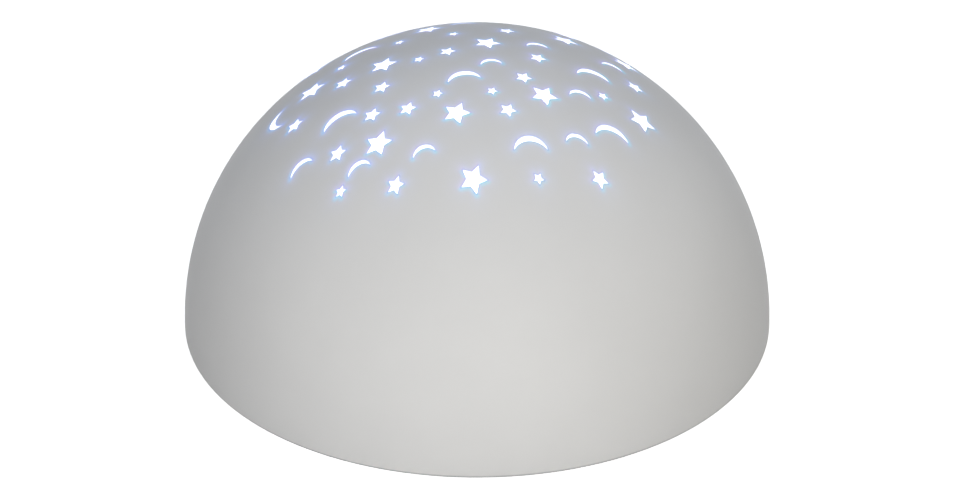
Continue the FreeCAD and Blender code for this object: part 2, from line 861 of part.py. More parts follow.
def make_screws():
    door_screw = screw(
        "battery_door_screw", size.door_head_radius, size.door_head_height,
        size.door_screw_radius, size.door_screw_length,
    )
    node(place(door_screw, -door_screw_place, size.bay_back, tray_bottom + size.door_head_sunk))
    height = tray_bottom + size.dome_head_depth - size.dome_head_height
    length = boss_top - tray_bottom - size.dome_head_depth + size.dome_screw_length - size.post_radius / 3
    screws = []
    for index, (x, y) in enumerate(round_corners(screw_circle, DIAGONAL)):
        one = screw(
            f"dome_screw_{index + 1}", size.dome_head_radius, size.dome_head_height,
            size.dome_screw_radius, length,
        )
        screws.append(place(one, x, y, height))
    node(group("dome_screws", screws))
    for name, places, board in (
        ("control_board_screws", standoffs, board_top),
        ("led_board_screws", lamp_screws, lamp_board_top),
    ):
        screws = []
        for index, (x, y) in enumerate(places):
            one = screw(
                f"{name}_{index + 1}", size.board_head_radius, size.board_head_height,
                size.board_screw_radius, size.board_screw_length,
            )
            screws.append(place(one, x, y, board + size.board_head_height, (Vector(1, 0, 0), 180)))
        node(group(name, screws))


def make_feet():
    feet = []
    top = tray_bottom + size.foot_socket
    section = [
        (0, 0), (size.foot_radius - size.foot_edge, 0), (size.foot_radius, size.foot_edge),
        (size.foot_radius, top), (0, top),
    ]
    for index, (x, y) in enumerate(round_corners(foot_circle)):
        feet.append(place(turned(f"foot_{index + 1}", section), x, y, 0))
    node(group("rubber_feet", feet))


# Cells and contacts


def make_cells():
    """Three cells side by side, every other one turned round, with a spring at each minus end."""
    body_end = size.cell_length - size.cell_nub
    section = [
        (0, 0), (cell_radius - size.cell_edge, 0), (cell_radius, size.cell_edge),
        (cell_radius, body_end - size.cell_edge), (cell_radius - size.cell_edge, body_end),
        (size.cell_nub_radius, body_end), (size.cell_nub_radius, size.cell_length), (0, size.cell_length),
    ]
    springs = []
    for index, row in enumerate(cell_rows):
        side = 1 if index % 2 == 0 else -1
        turn = (Vector(0, 1, 0), 90 * side)
        cell = turned(f"battery_{index + 1}", section)
        node(place(cell, side * (contact_face - size.cell_length), row, cell_middle, turn))
        spring = doc.addObject("Part::Cone", f"spring_{index + 1}")
        spring.setExpression("Radius1", size.spring_radius.text)
        spring.setExpression("Radius2", (size.spring_radius * 0.7).text)
        spring.setExpression("Height", size.spring_space.text)
        springs.append(place(spring, -side * contact_face, row, cell_middle, turn))
    node(group("battery_springs", springs))


def make_contacts():
    """Two single plates with a solder tail each, and two that join neighbouring cells."""
    plates = []
    heights = (contact_low, contact_low + size.contact_rise)
    half = size.contact_width / 2
    for side, single, first, last in ((1, 0, 1, 2), (-1, 2, 0, 1)):
        wall = sorted((side * contact_face, side * bay_half), key=lambda place: place.number)
        tail = sorted((side * bay_half, side * (bay_half + size.tail_reach)), key=lambda place: place.number)
        name = "right" if side > 0 else "left"
        plate = block(f"{name}_single_plate", wall, about(cell_rows[single], size.contact_width), heights)
        tag = block(
            f"{name}_tail", tail, about(cell_rows[single], size.tail_width),
            (tail_height, tail_height + size.tail_thickness),
        )
        plates.append(fuse(f"{name}_single", plate, tag))
        bridge = (cell_rows[first] - half, cell_rows[last] + half)
        plates.append(block(f"{name}_bridge", wall, bridge, heights))
    node(group("contact_plates", plates))


# Boards, lamps and controls


def make_lamps():
    """The lamp board on its holder, with four lamps side by side."""
    holder = doc.addObject("PartDesign::Body", "led_holder")
    ring = draw_circle(sketch_in(holder, "holder_outside", bay_top), size.lamp_board_radius)
    pad(holder, ring, size.lamp_board_rise)
    hollow = sketch_in(holder, "holder_inside", bay_top)
    draw_circle(hollow, size.lamp_board_radius - size.holder_wall)
    pocket(holder, hollow, size.lamp_board_rise)
    for index, (x, y) in enumerate(lamp_screws):
        lug = draw_circle(sketch_in(holder, f"holder_lug_{index + 1}", bay_top), size.holder_lug_radius, x, y)
        pad(holder, lug, size.lamp_board_rise)
        hole = sketch_in(holder, f"holder_hole_{index + 1}", bay_top)
        draw_circle(hole, size.board_screw_radius + size.pilot_play, x, y)
        pocket(holder, hole, size.lamp_board_rise)
    node(holder)
    board = doc.addObject("PartDesign::Body", "led_board")
    outline = draw_circle(sketch_in(board, "lamp_board_outline", lamp_board_low), size.lamp_board_radius)
    for x, y in lamp_screws:
        draw_circle(outline, size.board_screw_radius + size.screw_play, x, y)
    pad(board, outline, size.board_thickness)
    node(board)
    half = size.lamp_pitch / 2
    for colour, (x, y) in zip(LAMP_COLOURS, ((-half, half), (half, half), (-half, -half), (half, -half))):
        crown = lamp_board_top + size.lamp_height - size.lamp_radius
        flange = (lamp_board_top, lamp_board_top + size.lamp_flange)
        lamp = fuse(
            f"led_{colour}",
            rod(f"{colour}_flange", size.lamp_flange_radius, x, y, flange),
            rod(f"{colour}_stem", size.lamp_radius, x, y, (lamp_board_top, crown)),
            ball(f"{colour}_crown", size.lamp_radius, x, y, crown),
        )
        node(lamp)


def make_control_board():
    board = doc.addObject("PartDesign::Body", "control_board")
    outline = sketch_in(board, "control_outline", size.control_height)
    draw_rectangle(outline, about(0, size.control_length), about(board_y, size.control_width))
    for x, y in standoffs:
        draw_circle(outline, size.board_screw_radius + size.screw_play, x, y)
    pad(board, outline, size.board_thickness)
    node(board)
    chip = (about(0, size.chip_width), about(board_y, size.chip_length))
    node(block("control_chip", *chip, (board_top, board_top + size.chip_height)))
    can = (board_top, board_top + size.capacitor_height)
    parts = [rod("smoothing_capacitor", size.capacitor_radius, size.capacitor_side, board_y, can)]
    for index, along in enumerate(RESISTORS_AT):
        sides = (about(along, size.resistor_width), about(board_y, size.resistor_length))
        parts.append(block(f"resistor_{index + 1}", *sides, (board_top, board_top + size.resistor_height)))
    node(group("board_parts", parts))


def make_switch():
    """The slide switch on the board's underside, and the knob that it carries."""
    body = block(
        "switch_case", about(switch_x, size.switch_length), about(board_y, size.switch_width),
        (switch_low, size.control_height),
    )
    groove_top = switch_low + size.stem_depth + size.stem_play
    room = sliding_room(size.stem_length, size.stem_width, size.stem_play)
    groove = block("switch_groove", *room, (switch_low, groove_top))
    node(cut("power_switch_body", body, groove))
    knob = doc.addObject("PartDesign::Body", "power_switch_knob")
    knob_top = tray_bottom + size.knob_recess - size.knob_lift
    low = knob_top - size.knob_thickness
    cap = sketch_in(knob, "knob_cap", low)
    draw_rectangle(cap, about(switch_x, size.knob_length), about(board_y, size.knob_width))
    plate = pad(knob, cap, size.knob_thickness)
    round_edges(knob, "knob_corners", plate, size.knob_play, upright)
    stem = sketch_in(knob, "knob_stem", knob_top)
    draw_rectangle(stem, about(switch_x, size.stem_length), about(board_y, size.stem_width))
    pad(knob, stem, switch_low + size.stem_depth - knob_top)
    ridges = sketch_in(knob, "knob_ridges", low)
    for step in (-1, 0, 1):
        along = about(switch_x + step * size.ridge_pitch, size.ridge_width)
        draw_rectangle(ridges, along, about(board_y, size.knob_width - size.ridge_inset))
    pocket(knob, ridges, size.ridge_depth)
    node(knob)


def make_button():
    """The colour button, the plunger that it lifts and the switch that the plunger closes."""
    low = tray_bottom + size.button_sunk
    flange = tray_top + size.button_flange_lift
    flange_top = flange + size.button_flange_thickness
    hub_top = flange_top + size.button_hub
    edge = size.button_play * 2
    reach = size.button_radius + size.button_flange
    section = [
        (0, low), (size.button_radius - edge, low), (size.button_radius, low + edge),
        (size.button_radius, flange), (reach, flange), (reach, flange_top),
        (size.button_hub_radius, flange_top), (size.button_hub_radius, hub_top), (0, hub_top),
    ]
    node(place(turned("colour_button", section), button_x, board_y, 0))
    plunger_top = tact_low + size.plunger_entry
    node(rod("tact_plunger", size.plunger_radius, button_x, board_y, (hub_top, plunger_top)))
    sides = (about(button_x, size.tact_size), about(board_y, size.tact_size))
    case = block("tact_case", *sides, (tact_low, size.control_height))
    bore_top = plunger_top + size.button_travel + size.plunger_play
    bore = rod("tact_bore", size.plunger_radius + size.plunger_play, button_x, board_y, (tact_low, bore_top))
    node(cut("tact_switch", case, bore))


# Wires


def wire_path(points):
    """Straight runs joined by tangent arcs, each as large as its shorter run allows."""
    spots = [Vector(*[amount(number).number for number in point]) for point in points]
    edges = []
    start = spots[0]
    for before, corner, after in zip(spots, spots[1:], spots[2:]):
        back = before - corner
        ahead = after - corner
        share = BEND_SHARE * min(back.Length, ahead.Length)
        back.normalize()
        ahead.normalize()
        half_angle = back.getAngle(ahead) / 2
        radius = share * math.tan(half_angle)
        first = corner + back * share
        last = corner + ahead * share
        middle = back + ahead
        middle.normalize()
        nearest = corner + middle * (radius / math.sin(half_angle) - radius)
        edges.append(Part.LineSegment(start, first).toShape())
        edges.append(Part.Arc(first, nearest, last).toShape())
        start = last
    edges.append(Part.LineSegment(start, spots[-1]).toShape())
    return Part.Wire(edges)


def wire_shape(points, radius):
    """A round wire along a path, with its volume checked against its length."""
    path = wire_path(points)
    start = path.Edges[0].valueAt(path.Edges[0].FirstParameter)
    along = path.Edges[0].tangentAt(path.Edges[0].FirstParameter)
    ring = Part.Wire([Part.Circle(start, along, radius.number).toShape()])
    shape = path.makePipeShell([ring], True, False)
    expected = math.pi * radius.number**2 * path.Length
    if abs(shape.Volume - expected) > expected / 100:
        raise RuntimeError("a wire has the wrong volume")
    return shape


def wire_node(name, shapes):
    piece = doc.addObject("Part::Feature", name)
    piece.Shape = Part.Compound(shapes) if len(shapes) > 1 else shapes[0]
    node(piece)


def make_wires():
    out = bay_half + size.tail_reach
    turn_out = out + size.battery_wire_swing
    solder = tail_height + size.tail_thickness / 2
    high = board_top + size.battery_wire_rise
    pad_y = board_y + size.control_width / 2 - size.wire_inset
    for name, side, row in (("battery_wire_red", 1, cell_rows[0]), ("battery_wire_black", -1, cell_rows[-1])):
        points = [
            (side * out, row, solder), (side * turn_out, row, solder), (side * turn_out, pad_y, high),
            (side * size.wire_side, pad_y, high), (side * size.wire_side, pad_y, board_top),
        ]
        wire_node(name, [wire_shape(points, size.battery_wire_radius)])
    shapes = []
    top = lamp_board_top + size.lamp_wire_rise
    landing = size.lamp_wire_inset - size.lamp_board_radius
    for index in range(LAMP_WIRES):
        across = (index - (LAMP_WIRES - 1) / 2) * size.lamp_wire_pitch
        points = [
            (across, pad_y, board_top), (across, pad_y, top), (across, landing, top),
            (across, landing, lamp_board_top),
        ]
        shapes.append(wire_shape(points, size.lamp_wire_radius))
    wire_node("led_wires", shapes)


def check_and_write():
    """Every object must be sound before any sub-part is written."""
    doc.recompute()
    for thing in doc.Objects:
        if {"Invalid", "Error"} & set(thing.State):
            raise RuntimeError(f"{thing.Name} failed: {thing.State}")
    os.makedirs("parts", exist_ok=True)
    for piece in nodes:
        if piece.Shape.isNull() or not piece.Shape.isValid() or not piece.Shape.Solids:
            raise RuntimeError(f"{piece.Label} has no sound shape")
    for piece in nodes:
        piece.Shape.exportStep(f"parts/{piece.Label}.step")
        print(piece.Label, len(piece.Shape.Solids), "solids", round(piece.Shape.Volume, 2), "mm3")


make_dome()
make_liner()
make_tray()
make_door()
make_screws()
make_feet()
make_cells()
make_contacts()
make_lamps()
make_control_board()
make_switch()
make_button()
make_wires()
check_and_write()
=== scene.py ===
import math
import random

import bpy
import numpy as np
from mathutils import Matrix, Vector
from mathutils.geometry import delaunay_2d_cdt


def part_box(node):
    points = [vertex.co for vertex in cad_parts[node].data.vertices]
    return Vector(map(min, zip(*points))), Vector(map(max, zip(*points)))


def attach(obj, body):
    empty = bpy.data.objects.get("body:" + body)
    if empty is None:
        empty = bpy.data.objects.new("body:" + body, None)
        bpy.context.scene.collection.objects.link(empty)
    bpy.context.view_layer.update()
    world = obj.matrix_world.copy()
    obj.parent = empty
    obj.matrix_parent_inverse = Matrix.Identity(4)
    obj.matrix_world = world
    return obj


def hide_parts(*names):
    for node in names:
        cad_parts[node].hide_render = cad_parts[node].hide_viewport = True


# A half-round star light on a white ground. Metres, +Z up, front towards -Y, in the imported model's frame.

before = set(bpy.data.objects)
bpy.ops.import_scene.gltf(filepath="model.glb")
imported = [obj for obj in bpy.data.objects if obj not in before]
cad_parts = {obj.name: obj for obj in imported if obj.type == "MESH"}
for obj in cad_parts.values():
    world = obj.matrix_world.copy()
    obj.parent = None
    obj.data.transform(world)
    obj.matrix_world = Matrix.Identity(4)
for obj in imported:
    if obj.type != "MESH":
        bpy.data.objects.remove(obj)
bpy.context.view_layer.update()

MM = 0.001
RANDOM = random.Random(7)

# What the frame gives
dome_low, dome_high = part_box("star_dome")
button_low, button_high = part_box("colour_button")
knob_low, knob_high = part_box("power_switch_knob")
RIM = dome_low.z
RADIUS = dome_high.z - RIM
CENTRE = np.array([0, 0, RIM])
TRAY_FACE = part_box("base_tray")[0].z
DOOR_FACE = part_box("battery_door")[0].z

# Sizes of the dome
WALL = 2 * MM
INSIDE = RADIUS - WALL
RIM_ROUNDING = 0.6 * MM
CAP = 46 * MM
POST_RADIUS = 3.6 * MM
POST_CIRCLE = 50 * MM
POST_FOOT = 8.2 * MM
PILOT_RADIUS = 1.5 * MM
PILOT_TOP = 19.2 * MM
POST_BITE = 0.3 * MM


# Shader nodes

NOISE_LOW = 0.3
NOISE_HIGH = 0.7


class Nodes:
    """Adds nodes to one node tree."""

    def __init__(self, tree):
        self.tree = tree

    def set(self, socket, value):
        """Links an input to another node's output, or gives it a plain value."""
        if isinstance(value, bpy.types.NodeSocket):
            self.tree.links.new(value, socket)
        else:
            socket.default_value = value

    def add(self, kind, inputs=(), **settings):
        node = self.tree.nodes.new(kind)
        for key, value in settings.items():
            setattr(node, key, value)
        for key, value in dict(inputs).items():
            self.set(node.inputs[key], value)
        return node

    def place(self):
        return self.add("ShaderNodeTexCoord").outputs["Object"]

    def axes(self, place):
        return self.add("ShaderNodeSeparateXYZ", {"Vector": place}).outputs

    def noise(self, place, size, detail=2.0, roughness=0.5):
        inputs = {"Vector": place, "Scale": 1 / size, "Detail": detail, "Roughness": roughness}
        return self.add("ShaderNodeTexNoise", inputs).outputs["Fac"]

    def spread(self, value, low, high, low_out, high_out):
        inputs = {
            "Value": value, "From Min": low, "From Max": high, "To Min": low_out, "To Max": high_out,
        }
        return self.add("ShaderNodeMapRange", inputs).outputs["Result"]

    def vary(self, noise, low, high):
        """Spreads a noise, which seldom leaves its middle range, over two values."""
        return self.spread(noise, NOISE_LOW, NOISE_HIGH, low, high)

    def math(self, kind, *values):
        return self.add("ShaderNodeMath", enumerate(values), operation=kind).outputs[0]

    def vector(self, kind, *values):
        return self.add("ShaderNodeVectorMath", enumerate(values), operation=kind).outputs

    def mix(self, share, first, second, blend="MIX"):
        node = self.add("ShaderNodeMix", {0: share}, data_type="RGBA", blend_type=blend)
        colours = [socket for socket in node.inputs if socket.type == "RGBA"]
        for socket, value in zip(colours, (first, second)):
            self.set(socket, value)
        return next(socket for socket in node.outputs if socket.type == "RGBA")

    def bump(self, height, depth, normal=None):
        inputs = {"Height": height, "Distance": depth, "Strength": 1.0}
        if normal is not None:
            inputs["Normal"] = normal
        return self.add("ShaderNodeBump", inputs).outputs["Normal"]

    def soft_edges(self, radius):
        return self.add("ShaderNodeBevel", {"Radius": radius}, samples=4).outputs["Normal"]


class Material(Nodes):
    """Adds shader nodes to one new material."""

    def __init__(self, name):
        self.material = bpy.data.materials.new(name)
        self.material.use_nodes = True
        super().__init__(self.material.node_tree)
        self.shader = self.tree.nodes["Principled BSDF"]

    def shade(self, **inputs):
        for key, value in inputs.items():
            self.set(self.shader.inputs[key.replace("_", " ")], value)


def rgb(red, green, blue):
    return (red, green, blue, 1.0)


def shaded(colour, share):
    return tuple(channel * share for channel in colour[:3]) + (1.0,)


# Materials

WHITE = rgb(1.0, 1.0, 1.0)
SHELL_DARKER = rgb(0.665, 0.665, 0.666)
SHELL_LIGHTER = rgb(0.685, 0.685, 0.686)
# Painted shade on the dome's rounded rim: its colour darkens over its lowest 0.45 to 0.72 mm.
RIM_PAINTED_SHADE = rgb(0.44, 0.44, 0.445)
RIM_SHADE_FULL = 0.45 * MM
RIM_SHADE_END = 0.72 * MM
# Painted glow: beside a window the plastic's colour loses red, towards cyan.
PAINTED_GLOW_TINT = rgb(0.74, 1.0, 1.0)
# Painted shade: a darker, bluish line along each window's outline.
OUTLINE_PAINTED_SHADE = rgb(0.72, 0.74, 0.80)
LIP_DEPTH = 0.42 * MM
EDGE_GLOW = 0.85
LINER_GLOW = 1.08
JACKET_BAND = 9 * MM
JACKET_LINE = 0.9 * MM
JACKET_LINE_HALF = 0.35 * MM
TRACK_PITCH = 2.2 * MM
TRACK_WIDTH = 0.12
TRACK_SHARE = 0.47
RESISTOR_HALF = 0.65 * MM
CAN_SIDE = 7 * MM


def moulded(name, colour, roughness, grain=0.25 * MM, depth=0.006 * MM, edge=0.12 * MM):
    """Moulded plastic: a slow drift of colour, a fine grain in height and gloss, and softened edges."""
    drift = 0.03
    nodes = Material(name)
    place = nodes.place()
    slow = nodes.noise(place, 14 * MM, detail=3.0)
    fine = nodes.noise(place, grain, detail=3.0, roughness=0.6)
    tone = nodes.mix(nodes.vary(slow, 0.0, 1.0), shaded(colour, 1 - drift), shaded(colour, 1 + drift))
    nodes.shade(
        Base_Color=tone, Roughness=nodes.vary(fine, roughness - 0.05, roughness + 0.06),
        Normal=nodes.bump(fine, depth, nodes.soft_edges(edge)),
    )
    return nodes.material


def shell_plastic():
    """The dome's satin white, with a painted glow and cyan tint beside each window, painted shade along the
    window outlines, and painted shade darkening its rounded rim.
    """
    nodes = Material("shell_plastic")
    place = nodes.place()
    slow = nodes.noise(place, 22 * MM, detail=3.0)
    fine = nodes.noise(place, 0.45 * MM, detail=3.0, roughness=0.6)
    tone = nodes.mix(nodes.vary(slow, 0.0, 1.0), SHELL_DARKER, SHELL_LIGHTER)
    x, y, height = (nodes.axes(place)[letter] for letter in "XYZ")
    squares = [nodes.math("MULTIPLY", axis, axis) for axis in (x, y)]
    across = nodes.math("SQRT", nodes.math("ADD", *squares))
    # Painted shade: the outer rounded rim darkens towards its lowest edge.
    outside = nodes.math("GREATER_THAN", across, RADIUS - RIM_ROUNDING)
    low = nodes.spread(height, RIM + RIM_SHADE_FULL, RIM + RIM_SHADE_END, 1.0, 0.0)
    tone = nodes.mix(nodes.math("MULTIPLY", outside, low), tone, RIM_PAINTED_SHADE)
    halo = nodes.add("ShaderNodeAttribute", attribute_name="halo").outputs
    outline_shade = nodes.add("ShaderNodeAttribute", attribute_name="outline_shade").outputs
    # Painted glow and shade in the colour: a cyan tint beside the windows, and a darker line along their
    # outlines.
    for share, painted_tone in ((halo["Alpha"], PAINTED_GLOW_TINT), (outline_shade["Fac"], OUTLINE_PAINTED_SHADE)):
        tone = nodes.mix(share, tone, nodes.mix(1.0, tone, painted_tone, blend="MULTIPLY"))
    # The light beside the windows is painted as emission on the shell, which is no lamp.
    nodes.shade(
        Base_Color=tone, Roughness=nodes.vary(fine, 0.55, 0.65), Specular_IOR_Level=0.4,
        Normal=nodes.bump(fine, 0.0016 * MM), Emission_Color=halo["Color"], Emission_Strength=1.0,
    )
    return nodes.material


def lit_edge():
    """The walls of the windows, white with the light along them and violet-blue at their outer lip."""
    nodes = Material("lit_edge")
    place = nodes.place()
    fine = nodes.noise(place, 0.6 * MM)
    reach = nodes.vector("LENGTH", nodes.vector("SUBTRACT", place, tuple(CENTRE))["Vector"])["Value"]
    lip = nodes.spread(reach, RADIUS - LIP_DEPTH, RADIUS, 0.0, 1.0)
    inner = nodes.mix(nodes.vary(fine, 0.0, 1.0), rgb(0.90, 0.98, 1.0), rgb(0.97, 0.98, 1.0))
    tone = nodes.mix(lip, inner, rgb(0.42, 0.48, 0.86))
    nodes.shade(
        Base_Color=rgb(0.55, 0.55, 0.57), Roughness=0.5, Emission_Color=tone, Emission_Strength=EDGE_GLOW,
    )
    return nodes.material


def lit_liner():
    """The clear cap behind the windows, white with light and faintly tinted by the coloured lamps."""
    nodes = Material("lit_liner")
    place = nodes.place()
    ramp = nodes.add("ShaderNodeValToRGB", {"Fac": nodes.noise(place, 9 * MM, detail=1.0)})
    stops = ramp.color_ramp.elements
    cyan, pink = rgb(0.90, 1.0, 1.0), rgb(1.0, 0.96, 0.99)
    for index, (spot, colour) in enumerate(((0.3, cyan), (0.45, WHITE), (0.58, WHITE), (0.7, pink))):
        stop = stops[index] if index < len(stops) else stops.new(spot)
        stop.position = spot
        stop.color = colour
    fine = nodes.noise(place, 0.4 * MM)
    nodes.shade(
        Base_Color=rgb(0.86, 0.93, 1.0), Roughness=nodes.vary(fine, 0.12, 0.2),
        Emission_Color=ramp.outputs["Color"], Emission_Strength=LINER_GLOW,
    )
    return nodes.material


def rubber():
    """Matt dark rubber with a coarse skin."""
    nodes = Material("foot_rubber")
    fine = nodes.noise(nodes.place(), 0.18 * MM, detail=4.0, roughness=0.7)
    tone = nodes.mix(fine, rgb(0.055, 0.056, 0.06), rgb(0.10, 0.10, 0.105))
    nodes.shade(
        Base_Color=tone, Roughness=nodes.vary(fine, 0.72, 0.9),
        Normal=nodes.bump(fine, 0.02 * MM, nodes.soft_edges(0.2 * MM)),
    )
    return nodes.material


def plated(name, colour, dark, roughness):
    """Plated metal with fine scratches and dull spots."""
    nodes = Material(name)
    place = nodes.place()
    stretched = nodes.vector("MULTIPLY", place, (1.0, 6.0, 1.0))["Vector"]
    scratch = nodes.noise(stretched, 0.5 * MM, detail=4.0, roughness=0.7)
    cloud = nodes.noise(place, 1.6 * MM, detail=3.0)
    tone = nodes.mix(nodes.spread(cloud, 0.35, 0.7, 0.0, 1.0), colour, dark)
    nodes.shade(
        Base_Color=tone, Metallic=1.0, Roughness=nodes.vary(scratch, roughness - 0.08, roughness + 0.12),
        Normal=nodes.bump(scratch, 0.004 * MM, nodes.soft_edges(0.08 * MM)),
    )
    return nodes.material


def jacket(name, plus_side, plus_end):
    """A cell's printed jacket: dark grey with a pale band at the plus end, under a shiny film."""
    nodes = Material(name)
    place = nodes.place()
    from_plus = nodes.math("MULTIPLY", nodes.math("SUBTRACT", nodes.axes(place)["X"], plus_end), -plus_side)
    drift = nodes.noise(place, 5 * MM, detail=3.0)
    fine = nodes.noise(place, 0.12 * MM)
    pale = nodes.math("LESS_THAN", from_plus, JACKET_BAND)
    line = nodes.math("COMPARE", from_plus, JACKET_BAND + JACKET_LINE, JACKET_LINE_HALF)
    body = nodes.mix(drift, rgb(0.046, 0.064, 0.088), rgb(0.054, 0.073, 0.098))
    tone = nodes.mix(line, nodes.mix(pale, body, rgb(0.50, 0.52, 0.54)), rgb(0.62, 0.64, 0.66))
    nodes.shade(
        Base_Color=tone, Roughness=nodes.vary(fine, 0.28, 0.33), Metallic=0.2,
        Normal=nodes.bump(fine, 0.0003 * MM), Coat_Weight=0.4, Coat_Roughness=0.15,
    )
    return nodes.material


def board(name):
    """Green solder mask with raised copper tracks under it."""
    nodes = Material(name)
    place = nodes.place()
    grid = {"Vector": place, "Scale": 1 / TRACK_PITCH, "Randomness": 0.0}
    cells = nodes.add("ShaderNodeTexVoronoi", grid, feature="DISTANCE_TO_EDGE")
    lines = nodes.math("LESS_THAN", cells.outputs["Distance"], TRACK_WIDTH)
    patches = nodes.math("GREATER_THAN", nodes.noise(place, 6 * MM, detail=0.0), TRACK_SHARE)
    track = nodes.math("MULTIPLY", lines, patches)
    fine = nodes.noise(place, 0.2 * MM)
    mask = nodes.mix(fine, rgb(0.010, 0.085, 0.035), rgb(0.014, 0.11, 0.045))
    nodes.shade(
        Base_Color=nodes.mix(track, mask, rgb(0.03, 0.20, 0.075)), Roughness=nodes.vary(fine, 0.22, 0.32),
        Normal=nodes.bump(track, 0.03 * MM), Coat_Weight=0.4, Coat_Roughness=0.15,
    )
    return nodes.material


def lens(name, colour):
    """Tinted clear epoxy of a lit lamp."""
    nodes = Material(name)
    fine = nodes.noise(nodes.place(), 1.2 * MM)
    tone = nodes.mix(nodes.vary(fine, 0.0, 1.0), colour, shaded(colour, 0.92))
    nodes.shade(
        Base_Color=tone, Roughness=nodes.vary(fine, 0.04, 0.10), Transmission_Weight=0.7, IOR=1.54,
        Emission_Color=tone, Emission_Strength=1.0,
    )
    return nodes.material


def sleeve(name, colour):
    """The soft sleeve of a wire, with a slight shine."""
    nodes = Material(name)
    fine = nodes.noise(nodes.place(), 0.25 * MM, detail=3.0)
    tone = nodes.mix(fine, shaded(colour, 0.92), shaded(colour, 1.06))
    nodes.shade(Base_Color=tone, Roughness=nodes.vary(fine, 0.38, 0.5), Normal=nodes.bump(fine, 0.01 * MM))
    return nodes.material


def small_parts():
    """Resistors with tinned ends, and a sleeved capacitor with a bare top."""
    nodes = Material("board_parts")
    place = nodes.place()
    x, y, z = (nodes.axes(place)[letter] for letter in "XYZ")
    low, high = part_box("board_parts")
    off_middle = nodes.math("ABSOLUTE", nodes.math("SUBTRACT", y, (low.y + high.y) / 2))
    can_top = nodes.math("GREATER_THAN", z, high.z - 0.05 * MM)
    ends = nodes.math("GREATER_THAN", off_middle, RESISTOR_HALF)
    dark = nodes.mix(nodes.noise(place, 0.2 * MM), rgb(0.018, 0.018, 0.02), rgb(0.03, 0.03, 0.034))
    resistor = nodes.mix(ends, dark, rgb(0.62, 0.62, 0.60))
    can = nodes.mix(can_top, rgb(0.02, 0.025, 0.06), rgb(0.55, 0.56, 0.58))
    tone = nodes.mix(nodes.math("GREATER_THAN", x, CAN_SIDE), resistor, can)
    nodes.shade(Base_Color=tone, Roughness=0.38, Normal=nodes.soft_edges(0.1 * MM))
    return nodes.material


# Pieces


def show(thing):
    """Links a new object to the scene."""
    bpy.context.scene.collection.objects.link(thing)
    return thing


def placed(name, mesh, body):
    """A mesh as a piece that rides on a body."""
    thing = show(bpy.data.objects.new(name, mesh))
    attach(thing, body)
    return thing


def smoothed(mesh, sharp):
    """Smooth shading, with edges steeper than sharp degrees kept crisp."""
    mesh.polygons.foreach_set("use_smooth", [True] * len(mesh.polygons))
    mesh.set_sharp_from_angle(angle=math.radians(sharp))


def piece(name, shape, materials, body="housing", sharp=35):
    """A shape as a piece that rides on a body."""
    mesh = bpy.data.meshes.new(name)
    points = [tuple(map(float, point)) for point in shape.points]
    mesh.from_pydata(points, [], [tuple(map(int, face)) for face in shape.faces])
    for material in materials:
        mesh.materials.append(material)
    smoothed(mesh, sharp)
    mesh.update()
    return placed(name, mesh, body)


def circle(radius, sides, x=0.0, y=0.0):
    """A round outline, anticlockwise."""
    turns = [2 * math.pi * index / sides for index in range(sides)]
    return [(x + radius * math.cos(turn), y + radius * math.sin(turn)) for turn in turns]


class Shape:
    """Points and faces that are gathered from several closed forms."""

    def __init__(self):
        self.points = []
        self.faces = []

    def add(self, points, faces=()):
        start = len(self.points)
        self.points.extend(points)
        self.faces.extend([tuple(start + index for index in face) for face in faces])
        return start

    def row(self, points):
        """Adds points and gives their numbers."""
        return list(range(self.add(points), len(self.points)))

    def join(self, first, second):
        """Faces all round between two rows of numbers. A row of one number is a tip."""
        count = max(len(first), len(second))
        for index in range(count):
            after = (index + 1) % count
            corners = [first[index % len(first)], first[after % len(first)]]
            corners += [second[after % len(second)], second[index % len(second)]]
            self.faces.append(tuple(dict.fromkeys(corners)))

    def skin(self, rows, closed=False):
        """Faces from each row of points to the next and, if closed, from the last to the first."""
        numbers = [self.row(row) for row in rows]
        following = numbers[1:] + numbers[:1] if closed else numbers[1:]
        for first, second in zip(numbers, following):
            self.join(first, second)
        return numbers

    def rod(self, rows):
        """A form through rows of points, with flat ends."""
        numbers = self.skin(rows)
        self.faces += [tuple(reversed(numbers[0])), tuple(numbers[-1])]

    def slab(self, outline, z):
        """A flat slab of an anticlockwise outline, between two heights."""
        self.rod([[(x, y, height) for x, y in outline] for height in z])

    def bar(self, x, y, z):
        """A plain bar between two places along each axis."""
        self.slab([(x[0], y[0]), (x[1], y[0]), (x[1], y[1]), (x[0], y[1])], z)

    def hoop(self, inner, outer, z):
        """A flat hoop between two anticlockwise outlines and two heights."""
        corners = ((inner, z[0]), (outer, z[0]), (outer, z[1]), (inner, z[1]))
        self.skin([[(x, y, height) for x, y in outline] for outline, height in corners], closed=True)

    def lathe(self, profile, start, side, sides=64):
        """A round form along X, from pairs of a radius and a distance from the start. Radius 0 is a tip."""
        rows = []
        for radius, along in profile:
            ring = circle(radius, sides) if radius else [(0.0, 0.0)]
            rows.append([(start[0] + side * along, start[1] - side * y, start[2] + x) for x, y in ring])
        self.skin(rows)

    def tube(self, path, radius, sides):
        """A round wire along points."""
        path = [Vector(spot) for spot in path]
        side = (path[1] - path[0]).normalized().orthogonal().normalized()
        rows = []
        for index, spot in enumerate(path):
            heading = (path[min(index + 1, len(path) - 1)] - path[max(index - 1, 0)]).normalized()
            side = (side - heading * side.dot(heading)).normalized()
            other = heading.cross(side)
            rows.append([tuple(spot + x * side + y * other) for x, y in circle(radius, sides)])
        self.rod(rows)


# The dome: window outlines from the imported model

SAME_SPOT = 1e-7
ON_SPHERE = 0.005 * MM
FACING_UP = 0.25
LARGEST_WINDOW = 12 * MM
CORNER = math.radians(30)
STRAIGHT = 0.02 * MM
OUTLINE_STEP = 0.3 * MM
DENSE_STEP = 0.08 * MM
PUSH = 0.1 * MM


